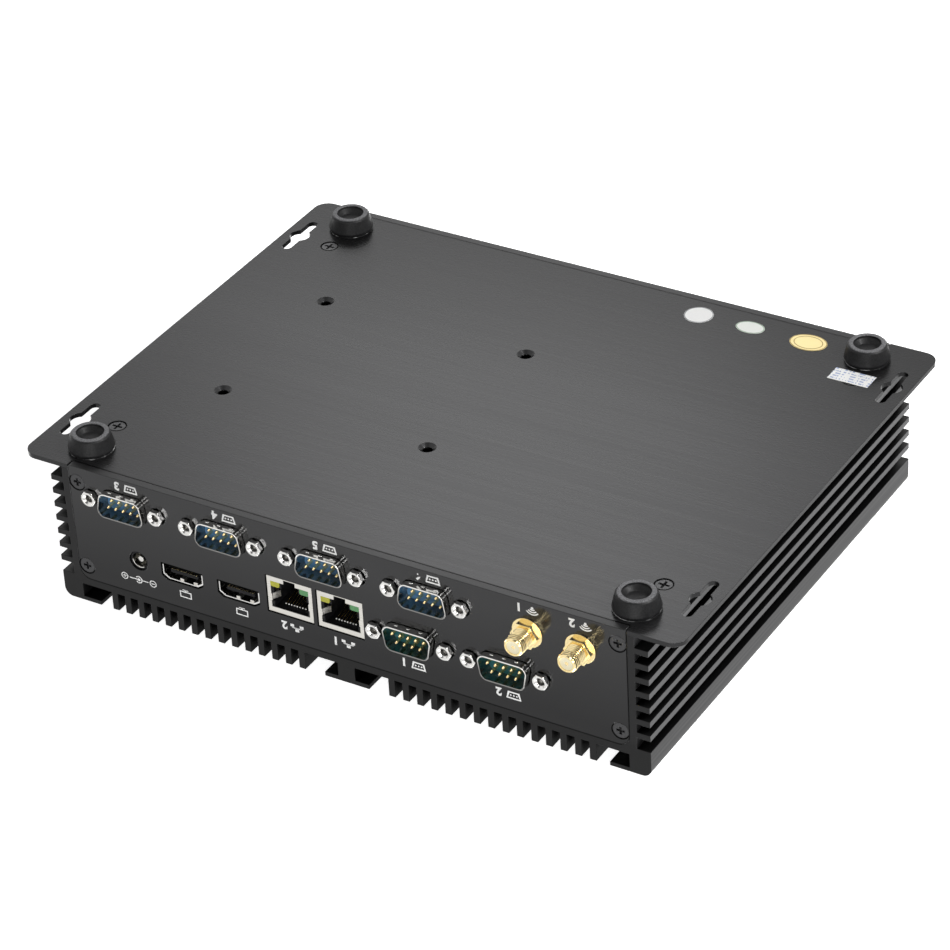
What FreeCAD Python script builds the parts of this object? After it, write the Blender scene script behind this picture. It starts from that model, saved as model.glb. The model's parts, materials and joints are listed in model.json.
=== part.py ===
import FreeCAD, Part
import math
import os

from FreeCAD import Vector

# A fanless industrial computer standing on its four rubber feet, in millimetres.
# X runs along the panels, Y from the port panel back to the switch panel, Z up from the feet's soles.

# The case: one extruded heat sink
case_depth = 177.4
case_height = 51.4
wall_span = 203.6
side_wall_thickness = 3.5
top_wall_thickness = 4.0
panel_seat_wall = 2.3
panel_seat_roof = 2.5
panel_corner_radius = 4.0

# Side fins and the solid blocks along the two upper edges
side_fin_reach = 4.6
side_fin_thickness = 2.0
side_fin_pitch = 5.1
side_fin_first = 5.45
side_fin_last_gap = 1.5
edge_block_width = 7.3
edge_block_height = 9.3
edge_block_radius = 3.0

# Top fins, edge channels and the centre rail
top_fin_height = 6.4
top_fin_thickness = 2.25
top_fin_pitch = 5.0
edge_channel_width = 11.3
edge_lip_reach = 6.7
edge_lip_thickness = 1.4
rail_bay_width = 30.4
rail_stem_width = 6.1
rail_head_width = 16.0
rail_head_thickness = 1.5

# Base plate with its two mounting ears
plate_thickness = 1.5
ear_reach = 15.35
ear_corner_radius = 5.0
keyhole_edge_inset = 5.95
keyhole_end_inset = 23.8
keyhole_slot_length = 19.8
keyhole_slot_width = 3.5
keyhole_head_radius = 3.5
drive_hole_spacing_x = 76.6
drive_hole_spacing_y = 61.72
drive_pattern_x = 41.4
drive_pattern_setback = 89.3
drive_hole_radius = 1.65
drive_sink_radius = 2.9
drive_sink_depth = 1.0

# Rubber feet
foot_height = 6.0
foot_widest_radius = 7.5
foot_sole_radius = 6.5
foot_glue_radius = 7.1
foot_waist_height = 1.1
foot_sole_round = 0.7
foot_cup_radius = 4.5
foot_cup_depth = 2.2
foot_cup_round = 1.4
foot_side_inset = 4.4
foot_pattern_x = 0.7
foot_end_inset = 11.6

# End panels and the countersunk screws that hold them and the plate
panel_thickness = 2.5
panel_clearance = 0.15
panel_foot_radius = 0.8
panel_screw_side_inset = 3.2
panel_screw_low = 5.7
panel_screw_top_inset = 5.15
rib_cover = 3.6
plate_screw_side_inset = 3.7
plate_screw_end_inset = 25.6
screw_head_radius = 2.8
screw_head_depth = 1.3
screw_head_recess = 0.15
screw_head_gap = 0.2
screw_shank_radius = 1.45
screw_length = 8.0
screw_clearance = 0.15
screw_point_gap = 0.6
recess_length = 3.6
recess_width = 0.8
recess_depth = 0.9

# Main board under the case's ceiling
board_thickness = 1.6
board_end_gap = 1.7
board_side_gap = 7.2
standoff_height = 6.6
standoff_radius = 2.6
board_hole_inset = 3.6
board_front_hole_setback = 20.0
board_rear_hole_inset = 8.0
board_screw_head_radius = 2.6
board_screw_head_height = 1.6
processor_width = 34.0
processor_height = 1.4
spreader_width = 62.0
spreader_depth = 54.0
chip_setback = 92.0

# Serial plugs: a row of four just above the plate and two hung from the board
serial_side_inset = 22.94
serial_low_pitch = 36.57
serial_low_count = 4
serial_low_rise = 9.7
serial_high_x = -24.5
serial_high_pitch = 33.34
serial_high_count = 2
serial_high_drop = 5.55
shell_width = 17.9
shell_height = 8.9
shell_reach = 2.8
shell_wall = 0.45
shell_corner_radius = 2.6
shell_side_angle = 10.0
shell_clearance = 0.3
flange_width = 30.8
flange_height = 10.4
flange_thickness = 0.8
flange_corner_radius = 1.0
flange_clearance = 0.3
pin_pitch = 2.77
pin_row_spacing = 2.84
pin_radius = 0.5
pin_low_row_reach = 1.2
pin_high_row_reach = 2.1
pin_tip = 0.5
pin_root = 6.0
insert_depth = 11.0
insert_block_height = 9.6
jackscrew_spacing = 24.99
jackscrew_flats = 4.9
jackscrew_reach = 2.0
jackscrew_clearance = 0.15
jackscrew_bore_radius = 1.2
jackscrew_bore_depth = 3.4
jackscrew_mouth_radius = 1.8
jackscrew_mouth_depth = 0.6
jackscrew_stud_radius = 1.4
jackscrew_stud_gap = 0.1
jackscrew_stud_length = 2.4
jackscrew_chamfer = 0.4

# Network sockets
network_x = (19.0, 0.7)
network_width = 16.4
network_height = 13.1
network_depth = 21.3
network_recess = 0.3
network_clearance = 0.35
network_sheet = 0.3
network_window_width = 13.8
network_window_height = 9.6
network_cavity_width = 12.0
network_cavity_height = 7.4
network_cavity_depth = 13.0
latch_width = 6.3
latch_notch_width = 4.2
latch_top_wall = 0.3
network_lamp_width = 3.2
network_lamp_height = 1.9
network_lamp_depth = 3.0
network_lamp_corner_radius = 0.6
network_tab_depth = 3.9
network_tab_height = 2.4
network_tab_rise = 2.4
contact_count = 8
contact_pitch = 1.02
contact_radius = 0.22
contact_setback = 3.0
contact_length = 8.0
contact_rise = 2.2

# Video sockets
video_x = (59.2, 38.1)
video_width = 15.0
video_height = 5.5
video_depth = 12.0
video_recess = 0.4
video_sheet = 0.4
video_clearance = 0.35
video_chamfer_width = 2.1
video_chamfer_height = 1.4
video_tongue_width = 10.2
video_tongue_thickness = 1.2
video_tongue_recess = 0.9
video_back_wall = 3.5

# Power inlet
jack_x = 75.6
jack_drop = 3.5
jack_hole_radius = 3.5
jack_width = 9.0
jack_depth = 14.0
jack_sleeve_radius = 3.15
jack_sleeve_wall = 0.4
jack_nose_wall = 0.2
jack_sleeve_recess = 0.6
jack_bore_depth = 9.5
jack_pin_radius = 0.95
jack_pin_recess = 1.3

# Antenna sockets
antenna_side_inset = 15.55
antenna_pitch = 18.0
antenna_drop = 15.95
antenna_count = 2
antenna_reach = 9.0
antenna_radius = 3.175
antenna_thread_radius = 2.95
antenna_collar_length = 2.6
antenna_tip_chamfer = 0.4
antenna_hole_clearance = 0.1
antenna_washer_radius = 5.1
antenna_washer_thickness = 0.5
antenna_nut_flats = 8.0
antenna_nut_thickness = 2.1
antenna_shoulder_radius = 4.4
antenna_shoulder_thickness = 2.0
antenna_tail_radius = 2.0
antenna_tail_length = 6.0
antenna_bore_radius = 2.3
antenna_bore_depth = 6.0
antenna_contact_radius = 0.65
antenna_insulator_recess = 0.4

# Switch panel: press button, lamps, peripheral and sound sockets
button_side_inset = 25.5
button_radius = 6.0
button_reach = 1.6
button_length = 6.0
button_travel = 1.0
button_running_gap = 0.15
button_stop_gap = 0.3
button_edge_round = 0.5
button_retainer_step = 0.6
button_retainer_length = 1.2
housing_radius = 8.0
housing_bezel_radius = 9.5
housing_bezel_thickness = 0.5
housing_length = 18.0
housing_hole_clearance = 0.1
housing_nut_flats = 20.0
housing_nut_thickness = 2.5
lamp_offsets = (20.0, 28.0)
lamp_radius = 1.5
lamp_reach = 0.8
lamp_round = 0.7
lamp_length = 7.0
lamp_flange_step = 0.5
lamp_flange_thickness = 0.8
lamp_hole_clearance = 0.1
usb_x = (-24.0, -6.0)
usb_width = 13.2
usb_height = 15.6
usb_depth = 17.0
usb_recess = 0.3
usb_clearance = 0.35
usb_sheet = 0.4
usb_port_height = 5.2
usb_back_wall = 4.0
usb_tongue_width = 10.8
usb_tongue_thickness = 1.8
usb_tongue_recess = 1.0
audio_x = (18.0, 33.0)
audio_body_width = 11.0
audio_body_height = 9.0
audio_body_depth = 12.0
audio_barrel_radius = 3.0
audio_barrel_drop = 4.8
audio_barrel_recess = 0.3
audio_bore_radius = 1.8
audio_bore_depth = 11.0
audio_clearance = 0.2

# Parts soldered to or plugged into the board
memory_x = -30.0
memory_setback = 75.0
memory_width = 67.6
memory_depth = 30.0
memory_thickness = 1.2
memory_socket_width = 73.0
memory_socket_depth = 6.0
memory_socket_height = 5.2
memory_edge_engagement = 3.0
memory_drop = 3.4
storage_x = 52.0
storage_setback = 62.0
storage_width = 30.0
storage_depth = 50.8
radio_edge_inset = 0.5
radio_setback = 42.0
radio_width = 30.0
radio_depth = 26.8
card_thickness = 1.0
card_drop = 3.8
card_socket_depth = 6.0
card_socket_height = 5.6
card_engagement = 2.5
cell_x = 40.0
cell_gap = 8.0
cell_radius = 10.0
cell_thickness = 3.2
cell_holder_wall = 1.4
cell_holder_floor = 1.0
cell_holder_height = 3.4
header_width = 14.0
header_depth = 9.0
header_height = 9.0
header_setback = 32.0
ribbon_width = 12.7
ribbon_thickness = 0.9
ribbon_bend_radius = 6.0
lead_radius = 0.6
lead_bend_radius = 7.5
lead_end_inset = 8.0

# Levels and planes worked out from those sizes
front_y = (antenna_reach - button_reach - case_depth) / 2
rear_y = front_y + case_depth
plate_z = foot_height
floor_z = plate_z + plate_thickness
top_z = plate_z + case_height
channel_z = top_z - top_fin_height
ceiling_z = channel_z - top_wall_thickness
panel_top_z = channel_z - panel_seat_roof
half_wall = wall_span / 2
fin_tip_x = half_wall + side_fin_reach
block_inner_x = fin_tip_x - edge_block_width
cavity_x = half_wall - side_wall_thickness
panel_seat_x = half_wall - panel_seat_wall
panel_screw_x = panel_seat_x - panel_screw_side_inset
rib_x = panel_screw_x - rib_cover
plate_half_length = half_wall + ear_reach
panel_screw_low_z = plate_z + panel_screw_low
panel_screw_high_z = panel_top_z - panel_screw_top_inset
board_top_z = ceiling_z - standoff_height
board_z = board_top_z - board_thickness
board_front_y = front_y + panel_thickness + board_end_gap
board_rear_y = rear_y - panel_thickness - board_end_gap
board_half_width = rib_x - board_side_gap
radio_x = radio_edge_inset + radio_width / 2 - board_half_width
inner_front_y = front_y + panel_thickness
inner_rear_y = rear_y - panel_thickness
serial_low_x = half_wall - serial_side_inset
serial_low_z = plate_z + serial_low_rise
serial_high_z = board_z - serial_high_drop
antenna_z = serial_high_z - antenna_drop
jack_z = board_z - jack_drop
button_x = button_side_inset - panel_seat_x
button_z = (floor_z + board_z) / 2
lamp_x = [button_x + offset for offset in lamp_offsets]


def box(x_low, x_high, y_low, y_high, z_low, z_high):
    return Part.makeBox(x_high - x_low, y_high - y_low, z_high - z_low, Vector(x_low, y_low, z_low))


def rod_y(radius, x, z, y_low, y_high):
    return Part.makeCylinder(radius, y_high - y_low, Vector(x, y_low, z), Vector(0, 1, 0))


def rod_z(radius, x, y, z_low, z_high):
    return Part.makeCylinder(radius, z_high - z_low, Vector(x, y, z_low))


def prism_y(points, y_low, y_high):
    corners = [Vector(x, y_low, z) for x, z in points]
    face = Part.Face(Part.makePolygon(corners + corners[:1]))
    return face.extrude(Vector(0, y_high - y_low, 0))


def hexagon_corner(flats):
    return flats / 2 / math.cos(math.pi / 6)


def hexagon_y(flats, x, z, y_low, y_high):
    corner_radius = hexagon_corner(flats)
    turns = [math.pi / 3 * step for step in range(6)]
    points = [(x + corner_radius * math.cos(turn), z + corner_radius * math.sin(turn)) for turn in turns]
    return prism_y(points, y_low, y_high)


def turned(profile, x, y):
    corners = [Vector(x + radius, y, z) for radius, z in profile]
    face = Part.Face(Part.makePolygon(corners + corners[:1]))
    return face.revolve(Vector(x, y, 0), Vector(0, 0, 1), 360)


def edges_along(solid, direction, keep=lambda centre: True):
    chosen = []
    for edge in solid.Edges:
        if not isinstance(edge.Curve, (Part.Line, Part.LineSegment)):
            continue
        tangent = edge.tangentAt(edge.FirstParameter)
        if abs(tangent.dot(direction)) > 1 - 1e-6 and keep(edge.CenterOfMass):
            chosen.append(edge)
    return chosen


def rounded_along(solid, direction, radius, keep=lambda centre: True):
    return solid.makeFillet(radius, edges_along(solid, direction, keep))


# Countersunk cross-recess screws

def countersunk_screw(seat, inward):
    """A screw set a little below the face at seat, running in the inward direction."""
    head_base = screw_head_recess + screw_head_depth
    head = Part.makeCone(screw_head_radius, screw_shank_radius, screw_head_depth,
                         Vector(0, 0, screw_head_recess))
    shank = Part.makeCylinder(screw_shank_radius, screw_length - head_base, Vector(0, 0, head_base))
    screw = head.fuse(shank).removeSplitter()
    half_length = recess_length / 2
    half_width = recess_width / 2
    recess_floor = screw_head_recess + recess_depth
    screw = screw.cut(box(-half_length, half_length, -half_width, half_width, 0, recess_floor))
    screw = screw.cut(box(-half_width, half_width, -half_length, half_length, 0, recess_floor))
    screw.Placement = FreeCAD.Placement(seat, FreeCAD.Rotation(Vector(0, 0, 1), inward))
    return screw


def screw_seat(seat, inward):
    """The countersink and clearance hole for such a screw, with room past its point."""
    collar = Part.makeCylinder(screw_head_radius + screw_head_gap, screw_head_recess)
    sink = Part.makeCone(screw_head_radius, screw_shank_radius, screw_head_depth,
                         Vector(0, 0, screw_head_recess))
    hole = Part.makeCylinder(screw_shank_radius + screw_clearance, screw_length + screw_point_gap)
    room = collar.fuse(sink).fuse(hole)
    room.Placement = FreeCAD.Placement(seat, FreeCAD.Rotation(Vector(0, 0, 1), inward))
    return room


def panel_screw_places(face_y):
    heights = (panel_screw_low_z, panel_screw_high_z)
    return [Vector(side * panel_screw_x, face_y, z) for side in (-1, 1) for z in heights]


def plate_screw_places():
    across = half_wall - plate_screw_side_inset
    ends = (front_y + plate_screw_end_inset, rear_y - plate_screw_end_inset)
    return [Vector(side * across, y, plate_z) for side in (-1, 1) for y in ends]


front_inward = Vector(0, 1, 0)
rear_inward = Vector(0, -1, 0)
upward = Vector(0, 0, 1)


# Heat-sink case

def side_fin_points():
    block_z = top_z - edge_block_height
    first_z = plate_z + side_fin_first
    room = block_z - side_fin_last_gap - side_fin_thickness - first_z
    points = []
    for index in range(int(room // side_fin_pitch) + 1):
        low = first_z + index * side_fin_pitch
        high = low + side_fin_thickness
        points += [(half_wall, low), (fin_tip_x, low), (fin_tip_x, high), (half_wall, high)]
    return points + [(half_wall, block_z), (fin_tip_x, block_z)]


def top_fin_points():
    outermost = block_inner_x - edge_channel_width
    innermost = rail_bay_width / 2
    run = outermost - innermost - top_fin_thickness
    gaps = int(run // top_fin_pitch)
    points = []
    for index in range(gaps, -1, -1):
        inner = innermost + index * run / gaps
        outer = inner + top_fin_thickness
        points += [(outer, channel_z), (outer, top_z), (inner, top_z), (inner, channel_z)]
    return points


def case_half_outline():
    lip_x = block_inner_x - edge_lip_reach
    lip_z = top_z - edge_lip_thickness
    stem_x = rail_stem_width / 2
    head_x = rail_head_width / 2
    head_z = top_z - rail_head_thickness
    outline = [(half_wall, floor_z)] + side_fin_points()
    outline += [(fin_tip_x, top_z), (lip_x, top_z), (lip_x, lip_z), (block_inner_x, lip_z)]
    outline += [(block_inner_x, channel_z)] + top_fin_points()
    outline += [(stem_x, channel_z), (stem_x, head_z), (head_x, head_z), (head_x, top_z)]
    return outline


def case_half_cavity():
    low_rib_z = panel_screw_low_z + rib_cover
    high_rib_z = panel_screw_high_z - rib_cover
    ribs = [(rib_x, floor_z), (rib_x, low_rib_z), (cavity_x, low_rib_z)]
    return ribs + [(cavity_x, high_rib_z), (rib_x, high_rib_z), (rib_x, ceiling_z)]


def mirrored_points(points):
    return [(-x, z) for x, z in reversed(points)]


def panel_blank(width_margin, y_low, y_high, foot_radius):
    """A panel outline set back from its seat by the margin, with rounded corners."""
    half_width = panel_seat_x - width_margin
    blank = box(-half_width, half_width, y_low, y_high, plate_z, panel_top_z - width_margin)
    middle_z = (plate_z + panel_top_z) / 2
    along = Vector(0, 1, 0)
    blank = rounded_along(blank, along, panel_corner_radius - width_margin,
                          lambda centre: centre.z > middle_z)
    if foot_radius:
        blank = rounded_along(blank, along, foot_radius, lambda centre: centre.z < middle_z)
    return blank


def heat_sink_case():
    outside = case_half_outline()
    cavity = case_half_cavity()
    outline = outside + mirrored_points(outside) + [(-x, z) for x, z in cavity] + cavity[::-1]
    case = prism_y(outline, front_y, rear_y)
    case = rounded_along(case, Vector(0, 1, 0), edge_block_radius,
                         lambda centre: abs(centre.x) > fin_tip_x - 1e-6 and centre.z > top_z - 1e-6)
    case = case.cut(panel_blank(0, front_y, inner_front_y, 0))
    case = case.cut(panel_blank(0, inner_rear_y, rear_y, 0))
    for seat in panel_screw_places(front_y):
        case = case.cut(screw_seat(seat, front_inward))
    for seat in panel_screw_places(rear_y):
        case = case.cut(screw_seat(seat, rear_inward))
    for seat in plate_screw_places():
        case = case.cut(screw_seat(seat, upward))
    for x, z, wide_side_up in serial_places():
        case = case.cut(flange_blank(x, z, flange_clearance))
    return case


# Base plate

def slot_y(length, width, x, y, z_low, z_high):
    half_run = (length - width) / 2
    slot = box(x - width / 2, x + width / 2, y - half_run, y + half_run, z_low, z_high)
    for end in (-1, 1):
        slot = slot.fuse(rod_z(width / 2, x, y + end * half_run, z_low, z_high))
    return slot


def keyhole_places():
    x = plate_half_length - keyhole_edge_inset
    ends = (front_y + keyhole_end_inset, rear_y - keyhole_end_inset)
    return [(side * x, y) for side in (-1, 1) for y in ends]


def drive_hole_places():
    centre_y = front_y + drive_pattern_setback
    across = [drive_pattern_x + side * drive_hole_spacing_x / 2 for side in (-1, 1)]
    along = [centre_y + side * drive_hole_spacing_y / 2 for side in (-1, 1)]
    return [(x, y) for x in across for y in along]


def base_plate():
    plate = box(-plate_half_length, plate_half_length, front_y, rear_y, plate_z, floor_z)
    plate = rounded_along(plate, upward, ear_corner_radius)
    half_width = panel_seat_x
    front_notch_y = inner_front_y + panel_clearance
    rear_notch_y = inner_rear_y - panel_clearance
    plate = plate.cut(box(-half_width, half_width, front_y, front_notch_y, plate_z, floor_z))
    plate = plate.cut(box(-half_width, half_width, rear_notch_y, rear_y, plate_z, floor_z))
    for x, y in keyhole_places():
        plate = plate.cut(slot_y(keyhole_slot_length, keyhole_slot_width, x, y, plate_z, floor_z))
        plate = plate.cut(rod_z(keyhole_head_radius, x, y, plate_z, floor_z))
    for x, y in drive_hole_places():
        sink = Part.makeCone(drive_sink_radius, drive_hole_radius, drive_sink_depth, Vector(x, y, plate_z))
        plate = plate.cut(rod_z(drive_hole_radius, x, y, plate_z, floor_z).fuse(sink))
    for seat in plate_screw_places():
        plate = plate.cut(screw_seat(seat, upward))
    return plate


def foot(x, y):
    """A cupped rubber foot, glued to the plate by its upper face."""
    profile = [
        (0, foot_cup_depth),
        (foot_cup_radius - foot_cup_round, foot_cup_depth),
        (foot_cup_radius, foot_cup_depth - foot_cup_round),
        (foot_cup_radius, 0),
        (foot_sole_radius - foot_sole_round, 0),
        (foot_sole_radius, foot_sole_round),
        (foot_widest_radius, foot_height - foot_waist_height),
        (foot_glue_radius, foot_height),
        (0, foot_height),
    ]
    return turned(profile, x, y)


def foot_places():
    across = half_wall - foot_side_inset
    ends = (front_y + foot_end_inset, rear_y - foot_end_inset)
    return [(foot_pattern_x + side * across, y) for side in (-1, 1) for y in ends]


# Serial plugs

def serial_places():
    low = [(serial_low_x - index * serial_low_pitch, serial_low_z, True) for index in range(serial_low_count)]
    high = [(serial_high_x - index * serial_high_pitch, serial_high_z, False)
            for index in range(serial_high_count)]
    return low + high


def plug_outline(x, z, wide_side_up, inset, y_low, y_high):
    """The D shape of a plug, drawn in from the shell's outside by the inset."""
    half_height = shell_height / 2 - inset
    wide = shell_width / 2 - inset
    narrow = wide - 2 * half_height * math.tan(math.radians(shell_side_angle))
    up = 1 if wide_side_up else -1
    points = [
        (x - narrow, z - up * half_height),
        (x + narrow, z - up * half_height),
        (x + wide, z + up * half_height),
        (x - wide, z + up * half_height),
    ]
    blank = prism_y(points, y_low, y_high)
    return rounded_along(blank, Vector(0, 1, 0), shell_corner_radius - inset)


def jackscrew_places(x, z):
    return [(x + side * jackscrew_spacing / 2, z) for side in (-1, 1)]


def flange_blank(x, z, margin):
    """The flange's block behind the port panel, grown sideways and backwards by the margin."""
    half_width = flange_width / 2 + margin
    half_height = flange_height / 2 + margin
    back_y = inner_front_y + flange_thickness + margin
    blank = box(x - half_width, x + half_width, inner_front_y, back_y, z - half_height, z + half_height)
    return rounded_along(blank, Vector(0, 1, 0), flange_corner_radius + margin)


def serial_shell(x, z, wide_side_up):
    flange_back_y = inner_front_y + flange_thickness
    tube = plug_outline(x, z, wide_side_up, 0, front_y - shell_reach, flange_back_y)
    shell = tube.fuse(flange_blank(x, z, 0))
    shell = shell.cut(plug_outline(x, z, wide_side_up, shell_wall, front_y - shell_reach, flange_back_y))
    for stud_x, stud_z in jackscrew_places(x, z):
        hole_radius = jackscrew_stud_radius + jackscrew_stud_gap
        shell = shell.cut(rod_y(hole_radius, stud_x, stud_z, inner_front_y, flange_back_y))
    return shell


def pin_places(x, z, wide_side_up):
    up = 1 if wide_side_up else -1
    wide_row = [(x + (index - 2) * pin_pitch, z + up * pin_row_spacing / 2) for index in range(5)]
    narrow_row = [(x + (index - 1.5) * pin_pitch, z - up * pin_row_spacing / 2) for index in range(4)]
    return wide_row + narrow_row


def serial_pin(x, z, reach):
    base_y = front_y - reach + pin_tip
    shaft = rod_y(pin_radius, x, z, base_y, front_y + pin_root)
    tip = Part.makeCone(pin_radius, pin_radius / 2, pin_tip, Vector(x, base_y, z), Vector(0, -1, 0))
    return shaft.fuse(tip)


def serial_insert(x, z, wide_side_up):
    """The coloured insulator: its face lies level with the flange, its block stands behind it."""
    flange_back_y = inner_front_y + flange_thickness
    back_y = front_y + insert_depth
    face = plug_outline(x, z, wide_side_up, shell_wall, inner_front_y, flange_back_y)
    half_width = shell_width / 2 - shell_wall
    low_z = z - insert_block_height / 2
    high_z = z + insert_block_height / 2 if wide_side_up else board_z
    block = box(x - half_width, x + half_width, flange_back_y, back_y, low_z, high_z)
    insert = face.fuse(block)
    for pin_x, pin_z in pin_places(x, z, wide_side_up):
        insert = insert.cut(rod_y(pin_radius, pin_x, pin_z, inner_front_y, front_y + pin_root))
    return insert


def jackscrew(x, z):
    """A hex post that stands on the plug's flange and comes out through the panel."""
    tip_y = front_y - jackscrew_reach
    post = hexagon_y(jackscrew_flats, x, z, tip_y, inner_front_y)
    corner_radius = hexagon_corner(jackscrew_flats)
    turned_end = Part.makeCone(corner_radius - jackscrew_chamfer, corner_radius, jackscrew_chamfer,
                               Vector(x, tip_y, z), Vector(0, 1, 0))
    turned_body = rod_y(corner_radius, x, z, tip_y + jackscrew_chamfer, inner_front_y)
    post = post.common(turned_end.fuse(turned_body))
    post = post.fuse(rod_y(jackscrew_stud_radius, x, z, inner_front_y, inner_front_y + jackscrew_stud_length))
    mouth = Part.makeCone(jackscrew_mouth_radius, jackscrew_bore_radius, jackscrew_mouth_depth,
                          Vector(x, tip_y, z), Vector(0, 1, 0))
    return post.cut(mouth.fuse(rod_y(jackscrew_bore_radius, x, z, tip_y, tip_y + jackscrew_bore_depth)))


# Network sockets

def network_levels():
    return board_z - network_height, board_z


def network_middle_z():
    return sum(network_levels()) / 2


def network_window(x, y_low, y_high):
    """The shell's mouth, with its latch notch on the plate's side."""
    low_z = network_levels()[0]
    half_width = network_window_width / 2
    window_low = network_middle_z() - network_window_height / 2
    window = box(x - half_width, x + half_width, y_low, y_high,
                 window_low, window_low + network_window_height)
    half_notch = latch_notch_width / 2
    return window.fuse(box(x - half_notch, x + half_notch, y_low, y_high, low_z + latch_top_wall, window_low))


def network_tabs(x, thickness, margin):
    """The two spring tabs folded in from the sides of the mouth."""
    tab_high = network_middle_z() + network_window_height / 2 - network_tab_rise + margin
    tab_low = tab_high - network_tab_height - 2 * margin
    mouth_y = front_y + network_recess
    back_y = mouth_y + network_tab_depth + margin
    edge = network_window_width / 2
    left = box(x - edge, x - edge + thickness, mouth_y, back_y, tab_low, tab_high)
    right = box(x + edge - thickness, x + edge, mouth_y, back_y, tab_low, tab_high)
    return left.fuse(right)


def network_inside(x):
    low_z, high_z = network_levels()
    half_width = network_width / 2 - network_sheet
    mouth_y = front_y + network_recess
    return box(x - half_width, x + half_width,
               mouth_y + network_sheet, mouth_y + network_depth - network_sheet,
               low_z + network_sheet, high_z - network_sheet)


def network_shell(x):
    low_z, high_z = network_levels()
    half_width = network_width / 2
    mouth_y = front_y + network_recess
    shell = box(x - half_width, x + half_width, mouth_y, mouth_y + network_depth, low_z, high_z)
    shell = shell.cut(network_inside(x))
    shell = shell.cut(network_window(x, mouth_y, mouth_y + network_sheet))
    return shell.fuse(network_tabs(x, network_sheet, 0))


def network_lamp(x, side):
    window_low = network_middle_z() - network_window_height / 2
    outer = network_window_width / 2
    edges = sorted((x + side * outer, x + side * (outer - network_lamp_width)))
    face_y = front_y + network_recess
    window_high = window_low + network_lamp_height
    lamp = box(edges[0], edges[1], face_y, face_y + network_lamp_depth, window_low, window_high)
    return rounded_along(lamp, Vector(0, 1, 0), network_lamp_corner_radius,
                         lambda centre: centre.z > window_high - network_lamp_corner_radius)


def contact_places(x):
    middle = (contact_count - 1) / 2
    return [x + (index - middle) * contact_pitch for index in range(contact_count)]


def network_contact(x):
    """A spring contact that slopes down and back from the cavity's board side."""
    start_z = network_middle_z() + network_window_height / 2 - contact_radius
    start = Vector(x, front_y + contact_setback, start_z)
    run = Vector(0, contact_length, -contact_rise)
    return Part.makeCylinder(contact_radius, run.Length, start, run)


def network_body(x):
    low_z = network_levels()[0]
    cavity_top = network_middle_z() + network_window_height / 2
    cavity_low = cavity_top - network_cavity_height
    face_y = front_y + network_recess + network_sheet
    half_cavity = network_cavity_width / 2
    half_latch = latch_width / 2
    body = network_inside(x)
    body = body.cut(box(x - half_cavity, x + half_cavity, face_y, face_y + network_cavity_depth,
                        cavity_low, cavity_top))
    body = body.cut(box(x - half_latch, x + half_latch, face_y, face_y + network_cavity_depth,
                        low_z + latch_top_wall, cavity_low))
    side_wall = (network_window_width - network_cavity_width) / 2
    body = body.cut(network_tabs(x, side_wall, network_sheet))
    for side in (-1, 1):
        body = body.cut(network_lamp(x, side))
    for contact_x in contact_places(x):
        body = body.cut(network_contact(contact_x))
    return body


# Video sockets

def video_outline(x, inset, y_low, y_high):
    half_width = video_width / 2 - inset
    low_z = board_z - video_height + inset
    high_z = board_z - inset
    chamfer_x = half_width - video_chamfer_width
    chamfer_z = high_z - video_chamfer_height
    points = [
        (x - half_width, low_z),
        (x + half_width, low_z),
        (x + half_width, chamfer_z),
        (x + chamfer_x, high_z),
        (x - chamfer_x, high_z),
        (x - half_width, chamfer_z),
    ]
    return prism_y(points, y_low, y_high)


def video_shell(x):
    mouth_y = front_y + video_recess
    shell = video_outline(x, 0, mouth_y, mouth_y + video_depth)
    return shell.cut(video_outline(x, video_sheet, mouth_y, mouth_y + video_depth))


def video_tongue(x):
    mouth_y = front_y + video_recess
    back_y = mouth_y + video_depth
    body = video_outline(x, video_sheet, back_y - video_back_wall, back_y)
    middle_z = board_z - video_height / 2
    half_width = video_tongue_width / 2
    half_thickness = video_tongue_thickness / 2
    tongue = box(x - half_width, x + half_width, mouth_y + video_tongue_recess, back_y - video_back_wall,
                 middle_z - half_thickness, middle_z + half_thickness)
    return body.fuse(tongue)


# Power inlet

def power_jack():
    half_width = jack_width / 2
    body = box(jack_x - half_width, jack_x + half_width, inner_front_y, front_y + jack_depth,
               jack_z - half_width, board_z)
    mouth_y = front_y + jack_sleeve_recess
    nose = rod_y(jack_sleeve_radius + jack_nose_wall, jack_x, jack_z, mouth_y, inner_front_y)
    return body.fuse(nose).cut(rod_y(jack_sleeve_radius, jack_x, jack_z, mouth_y, front_y + jack_bore_depth))


def power_jack_sleeve():
    mouth_y = front_y + jack_sleeve_recess
    back_y = front_y + jack_bore_depth
    sleeve = rod_y(jack_sleeve_radius, jack_x, jack_z, mouth_y, back_y)
    bore_radius = jack_sleeve_radius - jack_sleeve_wall
    sleeve = sleeve.cut(rod_y(bore_radius, jack_x, jack_z, mouth_y, back_y - jack_sleeve_wall))
    pin = rod_y(jack_pin_radius, jack_x, jack_z, front_y + jack_pin_recess, back_y - jack_sleeve_wall)
    return sleeve.fuse(pin)


# Antenna sockets

def antenna_places():
    outermost = antenna_side_inset - panel_seat_x
    return [outermost + index * antenna_pitch for index in range(antenna_count)]


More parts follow.
